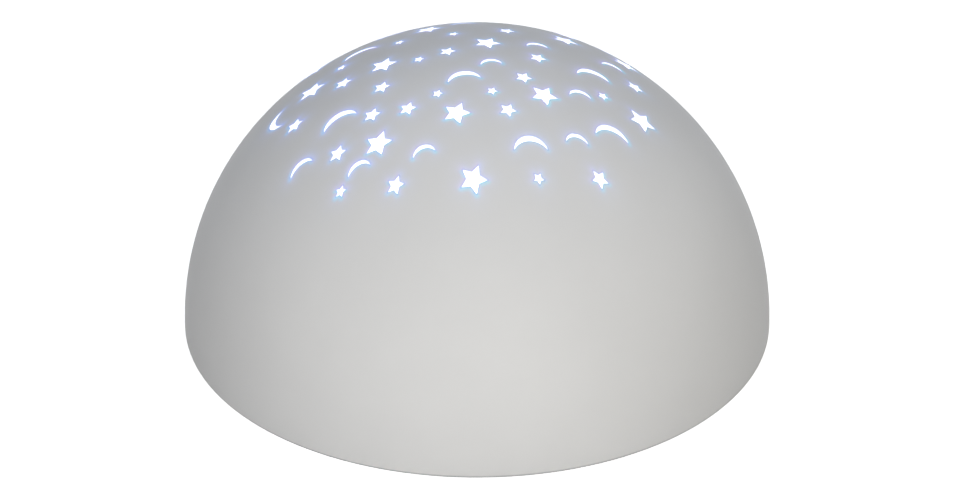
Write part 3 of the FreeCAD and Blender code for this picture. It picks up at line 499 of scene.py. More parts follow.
def outline_loops():
    """The windows' closed outlines on the dome's outer face, with the material on the left from above."""
    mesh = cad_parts["star_dome"].data
    spots = np.empty(len(mesh.vertices) * 3)
    mesh.vertices.foreach_get("co", spots)
    spots = spots.reshape(-1, 3)
    mesh.calc_loop_triangles()
    triangles = np.empty(len(mesh.loop_triangles) * 3, dtype=np.int32)
    mesh.loop_triangles.foreach_get("vertices", triangles)
    _, first, same = np.unique(np.round(spots / SAME_SPOT), axis=0, return_index=True, return_inverse=True)
    spots = spots[first]
    triangles = same.reshape(-1)[triangles].reshape(-1, 3)
    a, b, c = (spots[triangles[:, corner]] for corner in range(3))
    normals = np.cross(b - a, c - a)
    upward = normals[:, 2] > FACING_UP * np.linalg.norm(normals, axis=1)
    outer = np.abs(np.linalg.norm(spots - CENTRE, axis=1) - RADIUS) < ON_SPHERE
    cap = triangles[upward & outer[triangles].all(axis=1)]
    edges = {(int(p), int(q)) for p, q in np.vstack([cap[:, [0, 1]], cap[:, [1, 2]], cap[:, [2, 0]]])}
    following = {p: q for p, q in edges if (q, p) not in edges}
    loops = []
    left = set(following)
    while left:
        start = here = min(left)
        loop = []
        while here in left:
            left.discard(here)
            loop.append(here)
            here = following[here]
        outline = spots[loop][:, :2]
        if here == start and np.ptp(outline, axis=0).max() < LARGEST_WINDOW:
            loops.append(outline)
    return sorted(loops, key=lambda loop: tuple(np.round(loop.mean(axis=0), 5)))


def along_side(side, step):
    """Even points along one side of an outline, which is straight or an arc, without its last point."""
    start, end = side[0], side[-1]
    chord = end - start
    normal = np.array([-chord[1], chord[0]]) / np.linalg.norm(chord)
    rises = (side - start) @ normal
    rise = rises[np.abs(rises).argmax()]
    if abs(rise) < STRAIGHT:
        count = max(1, math.ceil(np.linalg.norm(chord) / step))
        return [start + chord * index / count for index in range(count)]
    half = np.linalg.norm(chord) / 2
    radius = (half * half + rise * rise) / (2 * abs(rise))
    middle = (start + end) / 2 + normal * (rise - math.copysign(radius, rise))
    first = math.atan2(*(start - middle)[::-1])
    turn = 2 * math.atan2(half, radius - abs(rise)) * -math.copysign(1, rise)
    count = max(2, math.ceil(abs(turn) * radius / step))
    angles = [first + turn * index / count for index in range(count)]
    return [middle + radius * np.array([math.cos(angle), math.sin(angle)]) for angle in angles]


def corners_of(loop):
    """The indices of an outline's corners."""
    before = loop - np.roll(loop, 1, axis=0)
    after = np.roll(loop, -1, axis=0) - loop
    cross = before[:, 0] * after[:, 1] - before[:, 1] * after[:, 0]
    turns = np.arctan2(cross, (before * after).sum(axis=1))
    return [index for index, turn in enumerate(turns) if abs(turn) > CORNER]


def outward_of(loop):
    """The way out of a window at each point of its outline."""
    heading = np.roll(loop, -1, axis=0) - np.roll(loop, 1, axis=0)
    heading /= np.linalg.norm(heading, axis=1)[:, None]
    return np.stack([-heading[:, 1], heading[:, 0]], axis=1)


STAR_CORNERS = 8
STAR_TRIM = 0.13 * MM
STAR_SHIFT = np.array([-0.11, -0.04]) * MM
CRESCENT_TRIM = 0.16 * MM
CRESCENT_SHIFT = np.array([-0.15, -0.10]) * MM
TIP_REACH = 2 * MM


def as_photographed(loop):
    """An outline trimmed and moved, each by under 0.2 mm, to the bright area in the photograph."""
    corners = corners_of(loop)
    if len(corners) > STAR_CORNERS:
        middle = loop.mean(axis=0)
        reach = np.linalg.norm(loop - middle, axis=1).max()
        return middle + (loop - middle) * (1 - STAR_TRIM / reach) + STAR_SHIFT
    outward = outward_of(loop)
    down_slope = loop / np.linalg.norm(loop, axis=1)[:, None]
    from_tip = np.linalg.norm(loop[:, None, :] - loop[corners][None, :, :], axis=2).min(axis=1)
    share = np.clip(from_tip / TIP_REACH, 0, 1) * np.clip((outward * down_slope).sum(axis=1), 0, 1)
    return loop - CRESCENT_TRIM * share[:, None] * outward + CRESCENT_SHIFT


def resampled(loop, step):
    """An outline with its corners kept and its sides divided evenly."""
    corners = corners_of(loop)
    points = []
    for here, there in zip(corners, corners[1:] + [corners[0] + len(loop)]):
        side = np.array([loop[index % len(loop)] for index in range(here, there + 1)])
        points += along_side(side, step)
    return np.array(points)


class Window:
    """One window's outline, for the mesh and for the light around it."""

    def __init__(self, loop):
        loop = as_photographed(loop)
        self.outline = resampled(loop, OUTLINE_STEP)
        self.dense = resampled(loop, DENSE_STEP)
        self.outward = outward_of(self.dense)
        self.low = self.dense.min(axis=0)
        self.high = self.dense.max(axis=0)
        self.tint = RANDOM.random()
        self.strength = RANDOM.uniform(0.8, 1.0)


windows = [Window(loop) for loop in outline_loops()]


def inside_window(points):
    """Which plan points lie in a window."""
    found = np.zeros(len(points), dtype=bool)
    for window in windows:
        near = np.where(((points > window.low) & (points < window.high)).all(axis=1))[0]
        x, y = points[near, 0][:, None], points[near, 1][:, None]
        ax, ay = window.outline[:, 0], window.outline[:, 1]
        bx, by = np.roll(ax, -1), np.roll(ay, -1)
        spans = (ay > y) != (by > y)
        rise = np.where(by == ay, 1, by - ay)
        crossings = (spans & (x < ax + (y - ay) * (bx - ax) / rise)).sum(axis=1)
        found[near[crossings % 2 == 1]] = True
    return found


def nearest_window(points, reach):
    """Each plan point's distance to the nearest outline, the way out of it, and its window's index."""
    distance = np.full(len(points), np.inf)
    way = np.zeros((len(points), 2))
    owner = np.full(len(points), -1)
    for index, window in enumerate(windows):
        near = np.where(((points > window.low - reach) & (points < window.high + reach)).all(axis=1))[0]
        if not len(near):
            continue
        offsets = points[near][:, None, :] - window.dense[None, :, :]
        gaps = np.linalg.norm(offsets, axis=2)
        closest = gaps.argmin(axis=1)
        gap = gaps[np.arange(len(near)), closest]
        pushed = offsets[np.arange(len(near)), closest] + window.outward[closest] * PUSH
        better = gap < distance[near]
        distance[near[better]] = gap[better]
        way[near[better]] = pushed[better] / np.linalg.norm(pushed[better], axis=1)[:, None]
        owner[near[better]] = index
    return distance, way, owner


# The dome: its mesh

RING = 148
RING_ANGLES = math.pi / RING + np.arange(RING) * 2 * math.pi / RING
HALO_REACH = 1.7 * MM
FINE_GRID = 0.34 * MM
OUTER_GRID = 1.5 * MM
INNER_GRID = 2.4 * MM
CLEAR = 0.45


def hex_grid(step):
    """Plan points on a grid of triangles, inside the cap."""
    rows = int(CAP / (step * math.sqrt(3) / 2)) + 1
    columns = int(CAP / step) + 1
    points = np.array([
        ((column + row % 2 / 2) * step, row * step * math.sqrt(3) / 2)
        for row in range(-rows, rows + 1) for column in range(-columns - 1, columns + 1)
    ])
    return points[np.hypot(points[:, 0], points[:, 1]) < CAP - step / 2]


def grid_points(coarse, fine=None):
    """Points between the outlines: coarse ones, and finer ones beside the windows."""
    chosen = []
    for step, band in ((coarse, (HALO_REACH if fine else 0, np.inf)), (fine, (0, HALO_REACH))):
        if step is None:
            continue
        points = hex_grid(step)
        distance, _, _ = nearest_window(points, HALO_REACH + coarse)
        low = max(band[0], CLEAR * min(step, OUTLINE_STEP * 2))
        chosen.append(points[(distance > low) & (distance <= band[1]) & ~inside_window(points)])
    return np.vstack(chosen)


def triangulated(grid):
    """Plan points (ring, outlines, grid) and the triangles between them, with the windows left open."""
    ring = CAP * np.stack([np.cos(RING_ANGLES), np.sin(RING_ANGLES)], axis=1)
    blocks = [ring] + [window.outline for window in windows]
    edges = []
    start = 0
    for block in blocks:
        edges += [(start + index, start + (index + 1) % len(block)) for index in range(len(block))]
        start += len(block)
    points = np.vstack(blocks + [grid])
    result = delaunay_2d_cdt([Vector(point) for point in points / MM], edges, [], 0, 1e-6)
    origin = [first[0] for first in result[3]]
    triangles = np.array([[origin[index] for index in face] for face in result[2]])
    middles = points[triangles].mean(axis=1)
    return points, triangles[~inside_window(middles)]


def on_ball(points, radius):
    """Lifts plan points to a sphere about the dome's centre."""
    heights = RIM + np.sqrt(radius**2 - (points**2).sum(axis=1))
    return np.column_stack([points, heights])


def rim_profile():
    """Half the dome's section between the two caps: down the outside, round the rim and up the inside."""
    steps = 26
    bend = 8
    profile = []
    start = math.asin(CAP / RADIUS)
    centre = math.sqrt((RADIUS - RIM_ROUNDING) ** 2 - RIM_ROUNDING**2)
    touch = math.atan2(centre, RIM_ROUNDING)
    for index in range(1, steps):
        angle = start + (touch - start) * index / steps
        profile.append((RADIUS * math.sin(angle), RIM + RADIUS * math.cos(angle)))
    for index in range(bend + 1):
        angle = touch + (math.pi - touch) * index / bend
        height = RIM + RIM_ROUNDING * (1 + math.cos(angle))
        profile.append((centre + RIM_ROUNDING * math.sin(angle), height))
    start = math.asin(CAP / INSIDE)
    for index in range(steps):
        angle = math.pi / 2 + (start - math.pi / 2) * index / steps
        profile.append((INSIDE * math.sin(angle), RIM + INSIDE * math.cos(angle)))
    return profile


def dome_mesh():
    """The dome's shape, the number of points on its outer cap, and the span of its window walls."""
    outer_plan, outer_faces = triangulated(grid_points(OUTER_GRID, FINE_GRID))
    inner_plan, inner_faces = triangulated(grid_points(INNER_GRID))
    shape = Shape()
    shape.add(on_ball(outer_plan, RADIUS).tolist(), outer_faces.tolist())
    inner = shape.add(on_ball(inner_plan, INSIDE).tolist(), inner_faces[:, ::-1].tolist())
    first_wall = len(shape.faces)
    start = RING
    for window in windows:
        outline = range(start, start + len(window.outline))
        shape.join([inner + number for number in outline], outline)
        start = outline.stop
    walls = slice(first_wall, len(shape.faces))
    rings = [range(RING)]
    for radius, height in rim_profile():
        spots = [(radius * math.cos(angle), radius * math.sin(angle), height) for angle in RING_ANGLES]
        rings.append(shape.row(spots))
    rings.append(range(inner, inner + RING))
    for high, low in zip(rings, rings[1:]):
        shape.join(low, high)
    for azimuth in (45, 135, 225, 315):
        add_post(shape, math.radians(azimuth))
    return shape, len(outer_plan), walls


def add_post(shape, azimuth):
    """A screw post: a tube from its foot into the shell, with a blind pilot hole."""
    sides = 48
    x, y = POST_CIRCLE * math.cos(azimuth), POST_CIRCLE * math.sin(azimuth)

    def ring(radius, height):
        return [(px, py, height) for px, py in circle(radius, sides, x, y)]

    def on_shell(px, py):
        return (px, py, RIM + math.sqrt((INSIDE + POST_BITE) ** 2 - px * px - py * py))

    shape.skin([
        [(x, y, PILOT_TOP)],
        ring(PILOT_RADIUS, PILOT_TOP),
        ring(PILOT_RADIUS, POST_FOOT),
        ring(POST_RADIUS, POST_FOOT),
        [on_shell(px, py) for px, py in circle(POST_RADIUS, sides, x, y)],
        [on_shell(x, y)],
    ])


# The dome: painted glow and shade beside the windows

BAND_WIDTH = 0.85 * MM
BAND_FALL = 0.8
BAND_LEAST = 0.35
# Painted shade along each window's outline reaches this far.
OUTLINE_SHADE_WIDTH = 0.22 * MM
HALO_FADE = 0.65 * MM
HALO_LOSS_BELOW = 0.5
HALO_GAIN_LEFT = 0.6
WIDE_FADE = 1.7 * MM
GLOW_REACH = 8 * MM
BAND_BLUE = np.array([0.0, 0.13, 0.27])
BAND_CYAN = np.array([0.0, 0.19, 0.19])
HALO_VIOLET = np.array([0.08, 0.04, 0.27])
HALO_BLUE = np.array([0.0, 0.07, 0.28])
WIDE_GLOW = np.array([0.012, 0.028, 0.07])


def smooth(value, low, high):
    """0 below low, 1 above high, and a soft step between."""
    share = np.clip((value - low) / (high - low), 0, 1)
    return share * share * (3 - 2 * share)


def blend(first, second, share):
    """Two colours mixed by each point's share of the second."""
    share = np.clip(share, 0, 1)[:, None]
    return first * (1 - share) + second * share


def halo_colours(plan):
    """For each plan point of the outer face: the painted glow beside a window, and the strength of the
    painted shade along its outline.

    The light's fourth value is how much red the plastic's colour loses there, a painted cyan tint. On a
    window's side towards the rim the plastic thins to a wedge, which glows in a narrow blue to cyan band.
    On the crown's side it is thick, and only a faint violet to blue halo shows.
    """
    distance, way, owner = nearest_window(plan, GLOW_REACH)
    outward = plan / np.maximum(np.linalg.norm(plan, axis=1), 1e-9)[:, None]
    below = smooth((way * outward).sum(axis=1), 0.0, 0.7)
    right = way[:, 0]
    tint = np.array([window.tint for window in windows] + [0.5])[owner]
    strength = np.array([window.strength for window in windows] + [0.0])[owner]
    left = 1 + HALO_GAIN_LEFT * smooth(-plan[:, 0] / RADIUS, 0.0, 0.6)
    level = BAND_LEAST + (1 - BAND_LEAST) * tint
    band = np.clip(1 - distance / BAND_WIDTH, 0, 1) ** BAND_FALL * below * level
    halo = np.exp(-distance / HALO_FADE) * (1 - HALO_LOSS_BELOW * below) * strength * left
    wide = np.exp(-distance / WIDE_FADE) * strength
    band_colour = blend(BAND_BLUE, BAND_CYAN, smooth(right, -0.5, 0.7) * 0.8 + (tint - 0.5) * 0.7)
    halo_colour = blend(HALO_BLUE, HALO_VIOLET, smooth(-right, -0.8, 0.8) * 0.6 + tint * 0.5)
    light = band_colour * band[:, None] + halo_colour * halo[:, None] + WIDE_GLOW * wide[:, None]
    light[owner < 0] = 0
    # Painted shade: darkest on a window's outline, fading out over its width.
    outline_shade = np.clip(1 - distance / OUTLINE_SHADE_WIDTH, 0, 1)
    return np.column_stack([light, np.clip(band, 0, 1)]), outline_shade


def make_dome():
    """The shell with its windows, posts and rounded rim."""
    shape, outer_count, walls = dome_mesh()
    dome = piece("star_dome_shell", shape, [shell_plastic(), lit_edge()], sharp=30)
    is_wall = np.zeros(len(shape.faces), dtype=np.int32)
    is_wall[walls] = 1
    dome.data.polygons.foreach_set("material_index", is_wall)
    # The painted glow and the painted outline shade are kept on the outer face's points.
    colours = np.zeros((len(shape.points), 4), dtype=np.float32)
    outline_shades = np.zeros(len(shape.points), dtype=np.float32)
    plan = np.array(shape.points[:outer_count])[:, :2]
    colours[:outer_count], outline_shades[:outer_count] = halo_colours(plan)
    dome.data.attributes.new("halo", "FLOAT_COLOR", "POINT").data.foreach_set("color", colours.ravel())
    dome.data.attributes.new("outline_shade", "FLOAT", "POINT").data.foreach_set("value", outline_shades)
    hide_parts("star_dome")


make_dome()


# Cells and springs

CELL_COUNT = 3
NUB = 1.0 * MM
NUB_RADIUS = 2.75 * MM
NUB_ROUNDING = 0.35 * MM
NUB_CORNER = 0.3 * NUB_ROUNDING
JACKET_LIP = 0.35 * MM
JACKET_START = 0.05 * MM
JACKET_ROUNDING = 0.9 * MM
JACKET_TURN_IN = 0.8 * MM
GROOVE_BACK = 2.6 * MM
GROOVE_DEPTH = 0.12 * MM
END_FIT = 0.05 * MM
END_SLOPE = 0.3 * MM
MINUS_FACE = 0.02 * MM
MINUS_RING = 0.12 * MM
MINUS_RING_WIDTH = 0.8 * MM
MINUS_BITE = 0.1 * MM
WASHER_DEPTH = 0.2 * MM
SIGN_INSET = 5 * MM
SIGN_ARM = 2.0 * MM
SIGN_HALF = 0.45 * MM
SIGN_LIFT = 0.03 * MM
SPRING_WIRE = 0.4 * MM
SPRING_TURNS = 5
SPRING_FLAT_TURNS = 0.8
STEPS_PER_TURN = 28
SPRING_WIDE = 4.3 * MM
SPRING_NARROW = 2.7 * MM


def cells():
    """Each cell's name, the corners of its box, and the side of its plus end."""
    for index in range(CELL_COUNT):
        name = f"battery_{index + 1}"
        low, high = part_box(name)
        yield name, low, high, -1 if index % 2 else 1


def make_cell(name, low, high, plus_side, metal, dark_print, pale_print):
    """A cell with a jacket crimped over both shoulders, a washer and a nub at the plus end."""
    radius = (high.y - low.y) / 2
    length = high.x - low.x
    y, z = (low.y + high.y) / 2, (low.z + high.z) / 2
    minus_end, plus_end = (low.x, high.x) if plus_side > 0 else (high.x, low.x)
    start = (minus_end, y, z)
    shoulder = length - NUB
    groove = shoulder - GROOVE_BACK
    flat = radius - JACKET_ROUNDING
    inner = flat - JACKET_TURN_IN
    bend = [math.pi / 2 * index / 5 for index in range(6)]
    rounds = [(JACKET_ROUNDING * math.sin(turn), JACKET_ROUNDING * (1 - math.cos(turn))) for turn in bend]
    body = Shape()
    body.lathe(
        [(0, JACKET_LIP), (inner, JACKET_LIP), (inner, JACKET_START)]
        + [(flat + out, along) for out, along in rounds]
        + [(radius, groove - JACKET_LIP), (radius - GROOVE_DEPTH, groove), (radius, groove + JACKET_LIP)]
        + [(flat + out, shoulder - along) for out, along in reversed(rounds)]
        + [(inner, shoulder), (inner, shoulder - JACKET_LIP), (0, shoulder - JACKET_LIP)],
        start, plus_side, sides=96,
    )
    title = name + "_jacket"
    cell = piece(title, body, [jacket(title, plus_side, plus_end)])
    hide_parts(name)
    end = inner - END_FIT
    ring = inner - MINUS_RING_WIDTH
    under = shoulder - JACKET_LIP - END_FIT
    washer = shoulder - WASHER_DEPTH
    ends = Shape()
    ends.lathe(
        [(0, MINUS_FACE), (ring - END_SLOPE, MINUS_FACE), (ring, MINUS_RING), (end, MINUS_RING),
         (end, JACKET_LIP + MINUS_BITE), (0, JACKET_LIP + MINUS_BITE)],
        start, plus_side,
    )
    ends.lathe(
        [(0, under), (end, under), (end, washer), (NUB_RADIUS + END_SLOPE, washer), (NUB_RADIUS, shoulder),
         (NUB_RADIUS, length - NUB_ROUNDING), (NUB_RADIUS - NUB_CORNER, length - NUB_CORNER),
         (NUB_RADIUS - NUB_ROUNDING, length), (0, length)],
        start, plus_side,
    )
    piece(name + "_ends", ends, [metal])
    for sign, middle, colour in (
        ("plus", plus_end - plus_side * SIGN_INSET, dark_print),
        ("minus", minus_end + plus_side * SIGN_INSET, pale_print),
    ):
        shape = Shape()
        wrap_bar(shape, (middle - SIGN_HALF, middle + SIGN_HALF), SIGN_ARM, y, z, radius)
        if sign == "plus":
            wrap_bar(shape, (middle - SIGN_ARM, middle - SIGN_HALF), SIGN_HALF, y, z, radius)
            wrap_bar(shape, (middle + SIGN_HALF, middle + SIGN_ARM), SIGN_HALF, y, z, radius)
        piece(f"{name}_{sign}", shape, [colour])


def wrap_bar(shape, x, reach, y, z, radius):
    """A thin printed bar on the lower side of a cell, bent round it by a reach to either side."""
    steps = 8
    low, high = radius - SIGN_LIFT, radius + SIGN_LIFT
    rows = []
    for index in range(steps + 1):
        turn = reach * (2 * index / steps - 1) / radius
        corners = ((x[0], low), (x[1], low), (x[1], high), (x[0], high))
        rows.append([(along, y + out * math.sin(turn), z - out * math.cos(turn)) for along, out in corners])
    shape.rod(rows)


def make_springs(metal):
    """Conical contact springs, wide at the wall and narrow at the cell."""
    steps = SPRING_TURNS * STEPS_PER_TURN
    low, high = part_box("battery_springs")
    shape = Shape()
    for _, cell_low, cell_high, side in cells():
        y, z = (cell_low.y + cell_high.y) / 2, (cell_low.z + cell_high.z) / 2
        wall, end = (low.x, cell_low.x) if side > 0 else (high.x, cell_high.x)
        travel = abs(end - wall) - 2 * SPRING_WIRE
        path = []
        for step in range(steps + 1):
            share = step / steps
            rise = (share * SPRING_TURNS - SPRING_FLAT_TURNS) / (SPRING_TURNS - 2 * SPRING_FLAT_TURNS)
            x = wall + side * (SPRING_WIRE + travel * min(1.0, max(0.0, rise)))
            radius = SPRING_WIDE + (SPRING_NARROW - SPRING_WIDE) * share - SPRING_WIRE
            turn = 2 * math.pi * share * SPRING_TURNS
            path.append((x, y + radius * math.cos(turn), z + radius * math.sin(turn)))
        shape.tube(path, SPRING_WIRE, sides=12)
    springs = piece("contact_springs", shape, [metal], sharp=60)
    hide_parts("battery_springs")


# Raised marks underneath

MARK_RISE = 0.2 * MM
MARK_ROOT = 0.05 * MM
LETTER_SIZE = 3.2 * MM
LETTER_BEVEL = 0.03 * MM
LETTERS_AHEAD = 6 * MM
OFF_SIDE = -4.2 * MM
ON_SIDE = 4.6 * MM
SWITCH_FRAME = (7.6 * MM, 4.2 * MM)
SWITCH_FRAME_CORNER = 1.6 * MM
TRAY_LINE = 0.5 * MM
BUTTON_RING = 5.6 * MM
DOT_COUNT = 6
DOT_CIRCLE = 7.4 * MM
DOT_RADIUS = 0.5 * MM
DOT_STEP = 0.16 * math.pi
CELL_MARK_X = (-9 * MM, 25 * MM)
CELL_MARK_HALF = 4.4 * MM
CELL_MARK_CORNER = 1.2 * MM
CELL_MARK_NUB = (1.4 * MM, 1.5 * MM)
DOOR_LINE = 0.45 * MM
DOOR_SIGN_SIDE = 11 * MM
DOOR_SIGN_ARM = 1.7 * MM
DOOR_SIGN_HALF = 0.3 * MM


def letters(text, x, y, z, name, material):
    """Raised letters on the underside, to be read from below with the front upwards."""
    curve = bpy.data.curves.new(name, "FONT")
    curve.body = text
    curve.size = LETTER_SIZE
    curve.align_x = "CENTER"
    curve.align_y = "CENTER"
    curve.extrude = (z[1] - z[0]) / 2
    curve.bevel_depth = LETTER_BEVEL
    curve.resolution_u = 6
    holder = show(bpy.data.objects.new(name + "_curve", curve))
    bpy.context.view_layer.update()
    mesh = bpy.data.meshes.new_from_object(holder.evaluated_get(bpy.context.evaluated_depsgraph_get()))
    bpy.data.objects.remove(holder)
    mesh.transform(Matrix.Translation((x, y, (z[0] + z[1]) / 2)) @ Matrix.Rotation(math.pi, 4, "X"))
    mesh.materials.clear()
    mesh.materials.append(material)
    placed(name, mesh, "housing")


def rounded(x, y, corner, inset=0.0):
    """A rectangle's outline with rounded corners, anticlockwise, moved in by an inset."""
    steps = 6
    centres = [(x[1], y[1], -1, -1), (x[0], y[1], 1, -1), (x[0], y[0], 1, 1), (x[1], y[0], -1, 1)]
    outline = []
    for quarter, (end_x, end_y, in_x, in_y) in enumerate(centres):
        for step in range(steps + 1):
            turn = (quarter + step / steps) * math.pi / 2
            outline.append((
                end_x + in_x * corner + (corner - inset) * math.cos(turn),
                end_y + in_y * corner + (corner - inset) * math.sin(turn),
            ))
    return outline


def add_frame(shape, x, y, corner, width, z):
    """A flat raised frame with rounded corners."""
    shape.hoop(rounded(x, y, corner, width), rounded(x, y, corner), z)


def around(middle, half):
    """The span of a half width to either side of a middle."""
    return (middle - half, middle + half)


def make_tray_marks(material):
    """ON, OFF and a frame at the switch, and a ring with dots at the button."""
    face = (TRAY_FACE - MARK_RISE, TRAY_FACE + MARK_ROOT)
    row_y = (knob_low.y + knob_high.y) / 2
    switch_x = (knob_low.x + knob_high.x) / 2
    button_x = (button_low.x + button_high.x) / 2
    for text, side, name in (("OFF", OFF_SIDE, "mark_off"), ("ON", ON_SIDE, "mark_on")):
        letters(text, switch_x + side, row_y - LETTERS_AHEAD, face, name, material)
    shape = Shape()
    half_x, half_y = SWITCH_FRAME
    add_frame(shape, around(switch_x, half_x), around(row_y, half_y), SWITCH_FRAME_CORNER, TRAY_LINE, face)
    inner, outer = (circle(reach, 64, button_x, row_y) for reach in around(BUTTON_RING, TRAY_LINE / 2))
    shape.hoop(inner, outer, face)
    for index in range(DOT_COUNT):
        turn = 1.5 * math.pi + (index - (DOT_COUNT - 1) / 2) * DOT_STEP
        spot = (button_x + DOT_CIRCLE * math.cos(turn), row_y + DOT_CIRCLE * math.sin(turn))
        shape.slab(circle(DOT_RADIUS, 20, *spot), face)
    piece("tray_marks", shape, [material])


def make_door_marks(material):
    """The outline of each cell with its plus and minus signs."""
    face = (DOOR_FACE - MARK_RISE, DOOR_FACE + MARK_ROOT)
    shape = Shape()
    for _, low, high, side in cells():
        y = (low.y + high.y) / 2
        add_frame(shape, CELL_MARK_X, around(y, CELL_MARK_HALF), CELL_MARK_CORNER, DOOR_LINE, face)
        tip = CELL_MARK_X[1] if side > 0 else CELL_MARK_X[0]
        shape.bar(sorted((tip, tip + side * CELL_MARK_NUB[0])), around(y, CELL_MARK_NUB[1]), face)
        middle = sum(CELL_MARK_X) / 2
        plus, minus = middle + side * DOOR_SIGN_SIDE, middle - side * DOOR_SIGN_SIDE
        for x in (plus, minus):
            shape.bar(around(x, DOOR_SIGN_ARM), around(y, DOOR_SIGN_HALF), face)
        for span in ((y - DOOR_SIGN_ARM, y - DOOR_SIGN_HALF), (y + DOOR_SIGN_HALF, y + DOOR_SIGN_ARM)):
            shape.bar(around(plus, DOOR_SIGN_HALF), span, face)
    piece("door_marks", shape, [material], body="battery_door")


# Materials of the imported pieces


def finish_node(name, material):
    """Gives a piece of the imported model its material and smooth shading."""
    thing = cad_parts[name]
    for material_slot in thing.material_slots:
        material_slot.material = material
    smoothed(thing.data, 28)


white_base = moulded("base_plastic", rgb(0.66, 0.66, 0.65), 0.5)
nickel = plated("nickel", rgb(0.60, 0.58, 0.53), rgb(0.46, 0.44, 0.40), 0.28)
zinc = plated("zinc", rgb(0.58, 0.59, 0.61), rgb(0.42, 0.43, 0.45), 0.32)
ink = {"roughness": 0.4, "depth": 0.001 * MM, "edge": 0.02 * MM}
print_white = moulded("print_white", rgb(0.72, 0.73, 0.74), **ink)
print_dark = moulded("print_dark", rgb(0.05, 0.065, 0.09), **ink)
black = moulded("switch_plastic", rgb(0.02, 0.02, 0.022), 0.42, depth=0.004 * MM)
grey = moulded("control_plastic", rgb(0.16, 0.17, 0.185), 0.46, depth=0.005 * MM)
green_board = board("board_mask")

for material, *names in (
    (white_base, "base_tray", "battery_door", "led_holder"),
    (zinc, "battery_door_screw", "dome_screws", "control_board_screws", "led_board_screws"),
    (nickel, "contact_plates"),
    (black, "power_switch_body", "tact_plunger", "tact_switch"),
    (grey, "power_switch_knob", "colour_button"),
    (green_board, "led_board", "control_board"),
    (moulded("chip_epoxy", rgb(0.018, 0.018, 0.02), 0.5, grain=0.12 * MM), "control_chip"),
    (small_parts(), "board_parts"),
    (rubber(), "rubber_feet"),
    (lit_liner(), "clear_liner"),
    (lens("lens_white", rgb(0.93, 0.95, 0.90)), "led_white"),
    (lens("lens_blue", rgb(0.16, 0.30, 0.92)), "led_blue"),
    (lens("lens_green", rgb(0.14, 0.80, 0.34)), "led_green"),
    (lens("lens_red", rgb(0.92, 0.12, 0.10)), "led_red"),
    (sleeve("sleeve_red", rgb(0.52, 0.03, 0.025)), "battery_wire_red"),
    (sleeve("sleeve_black", rgb(0.018, 0.018, 0.02)), "battery_wire_black"),
    (sleeve("sleeve_white", rgb(0.68, 0.68, 0.66)), "led_wires"),
):
    for name in names:
        finish_node(name, material)

for cell in cells():
    make_cell(*cell, nickel, print_dark, print_white)
make_springs(nickel)
make_tray_marks(white_base)
make_door_marks(white_base)


# Floor, light and camera

WORLD_LEVEL = 0.03
FLOOR_SIZE = 6.0
FLOOR_WHITE = 0.80
FLOOR_DIFFUSE = rgb(0.75, 0.75, 0.75)
FLOOR_BOUNCE = 0.05
FLOOR_DROP = 0.02 * MM
LAMP_DISTANCE = 1.4
BEAM_DROP = 150 * MM
BEAM_SPREAD = math.radians(4)
SENSOR = 36
LENS = 111.65
CAMERA_PLACE = Vector((0, -522.2, 317.7)) * MM
CAMERA_AIM = Vector((0.07, 0, 16.42)) * MM


def white_seen(nodes):
    """1 for a ray from the camera, a reflection or a clear material, and 0 for light on the object."""
    path = nodes.add("ShaderNodeLightPath").outputs
    seen = path["Is Camera Ray"]
    for other in ("Is Glossy Ray", "Is Transmission Ray"):
        seen = nodes.math("MAXIMUM", seen, path[other])
    return seen


def make_floor():
    """A white floor that keeps the soft shadow. From below it is clear, and lamps under it shine through.

    It lies a hair under the feet, so that their soles don't share its plane.
    """
    half = FLOOR_SIZE / 2
    mesh = bpy.data.meshes.new("floor")
    corners = [(x * half, y * half, -FLOOR_DROP) for x, y in ((-1, -1), (1, -1), (1, 1), (-1, 1))]
    mesh.from_pydata(corners, [], [(0, 1, 2, 3)])
    nodes = Material("floor_white")
    nodes.tree.nodes.remove(nodes.shader)

    def blended(share, first, second):
        return nodes.add("ShaderNodeMixShader", {0: share, 1: first, 2: second}).outputs[0]

    def emission(strength):
        return nodes.add("ShaderNodeEmission", {"Color": WHITE, "Strength": strength}).outputs[0]

    diffuse = nodes.add("ShaderNodeBsdfDiffuse", {"Color": FLOOR_DIFFUSE}).outputs[0]
    lit = nodes.add("ShaderNodeAddShader", {0: diffuse, 1: emission(FLOOR_WHITE)}).outputs[0]
    clear = nodes.add("ShaderNodeBsdfTransparent").outputs[0]
    seen = blended(white_seen(nodes), emission(FLOOR_BOUNCE), lit)
    one_sided = blended(nodes.add("ShaderNodeNewGeometry").outputs["Backfacing"], seen, clear)
    surface = blended(nodes.add("ShaderNodeLightPath").outputs["Is Shadow Ray"], one_sided, clear)
    nodes.set(nodes.tree.nodes["Material Output"].inputs["Surface"], surface)
    mesh.materials.append(nodes.material)
    floor = show(bpy.data.objects.new("floor", mesh))


def make_world():
    """White where white_seen says so, and a plain dim sky above the floor for everything else."""
    world = bpy.data.worlds.new("studio")
    bpy.context.scene.world = world
    world.use_nodes = True
    nodes = Nodes(world.node_tree)
    direction = nodes.add("ShaderNodeTexCoord").outputs["Generated"]
    above = nodes.math("GREATER_THAN", nodes.axes(direction)["Z"], 0.0)
    level = nodes.math("MAXIMUM", white_seen(nodes), nodes.math("MULTIPLY", above, WORLD_LEVEL))
    background = nodes.tree.nodes["Background"].inputs
    nodes.set(background["Color"], WHITE)
    nodes.set(background["Strength"], level)


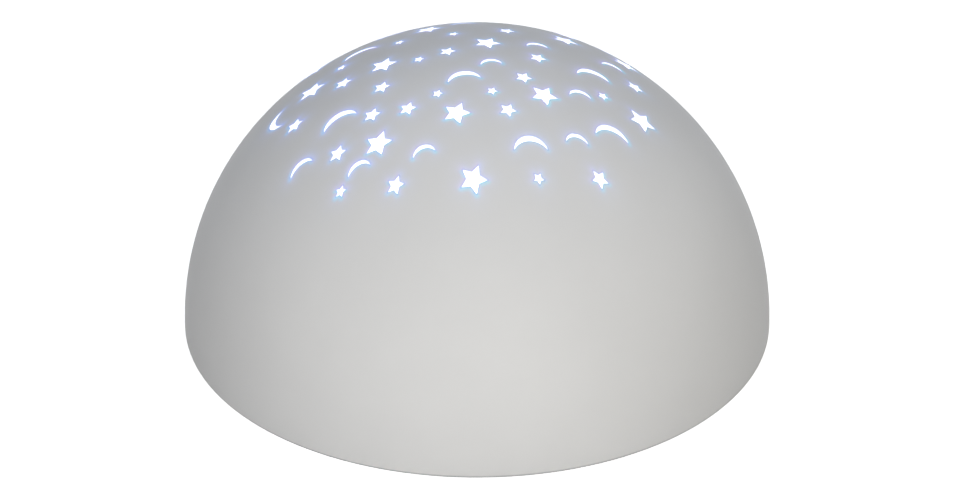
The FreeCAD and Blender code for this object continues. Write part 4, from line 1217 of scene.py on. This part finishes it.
def hang_lamp(data, place, back):
    """Puts a lamp in its place, with its back in a direction. The camera doesn't see it."""
    lamp = show(bpy.data.objects.new(data.name, data))
    lamp.location = place
    lamp.rotation_mode = "QUATERNION"
    lamp.rotation_quaternion = back.to_track_quat("Z", "Y")
    lamp.visible_camera = False


def soft_light(name, azimuth, elevation, level, width=0.9, height=0.55, colour=(1, 1, 1)):
    """A large soft lamp that lights plain white facing it to a level. Azimuth 90 is the right."""
    data = bpy.data.lights.new(name, "AREA")
    data.shape = "RECTANGLE"
    data.size = width
    data.size_y = height
    data.energy = level * math.pi**2 * LAMP_DISTANCE**2
    data.color = colour
    turn, rise = math.radians(azimuth), math.radians(elevation)
    away = Vector((math.sin(turn) * math.cos(rise), -math.cos(turn) * math.cos(rise), math.sin(rise)))
    hang_lamp(data, Vector((0, 0, RADIUS / 2)) + away * LAMP_DISTANCE, away)


def light_underside(level):
    """A straight beam from below, as wide as the dome's inside, so that it leaves the outside alone."""
    data = bpy.data.lights.new("underside", "AREA")
    data.shape = "DISK"
    data.size = 2 * INSIDE
    data.spread = BEAM_SPREAD
    data.energy = level * math.pi * (data.size / 2) ** 2
    hang_lamp(data, (0, 0, -BEAM_DROP), Vector((0, 0, -1)))


def make_camera():
    """The photograph's view: a long lens from the front, about 30 degrees above the table."""
    data = bpy.data.cameras.new("camera")
    data.sensor_width = SENSOR
    data.lens = LENS
    data.clip_start = 0.05
    data.clip_end = 20
    camera = show(bpy.data.objects.new("camera", data))
    camera.location = CAMERA_PLACE
    camera.rotation_mode = "QUATERNION"
    camera.rotation_quaternion = (CAMERA_AIM - CAMERA_PLACE).to_track_quat("-Z", "Y")
    bpy.context.scene.camera = camera


make_floor()
make_world()
soft_light("key", 0, 13, 0.41, width=1.0)
soft_light("front_high", 0, 40, 0.20, width=1.0, height=0.8)
soft_light("left", -42, 13, 0.19)
soft_light("right", 30, 13, 0.24, colour=(1.0, 0.96, 0.86))
soft_light("right_side", 110, 30, 0.15)
soft_light("left_side", -115, 30, 0.06)
soft_light("back_high", 180, 60, 0.23, colour=(0.90, 1.0, 1.16))
soft_light("behind_below", 180, -29, 0.45)
light_underside(1.1)
make_camera()

view = bpy.context.scene.view_settings
view.view_transform = "Standard"
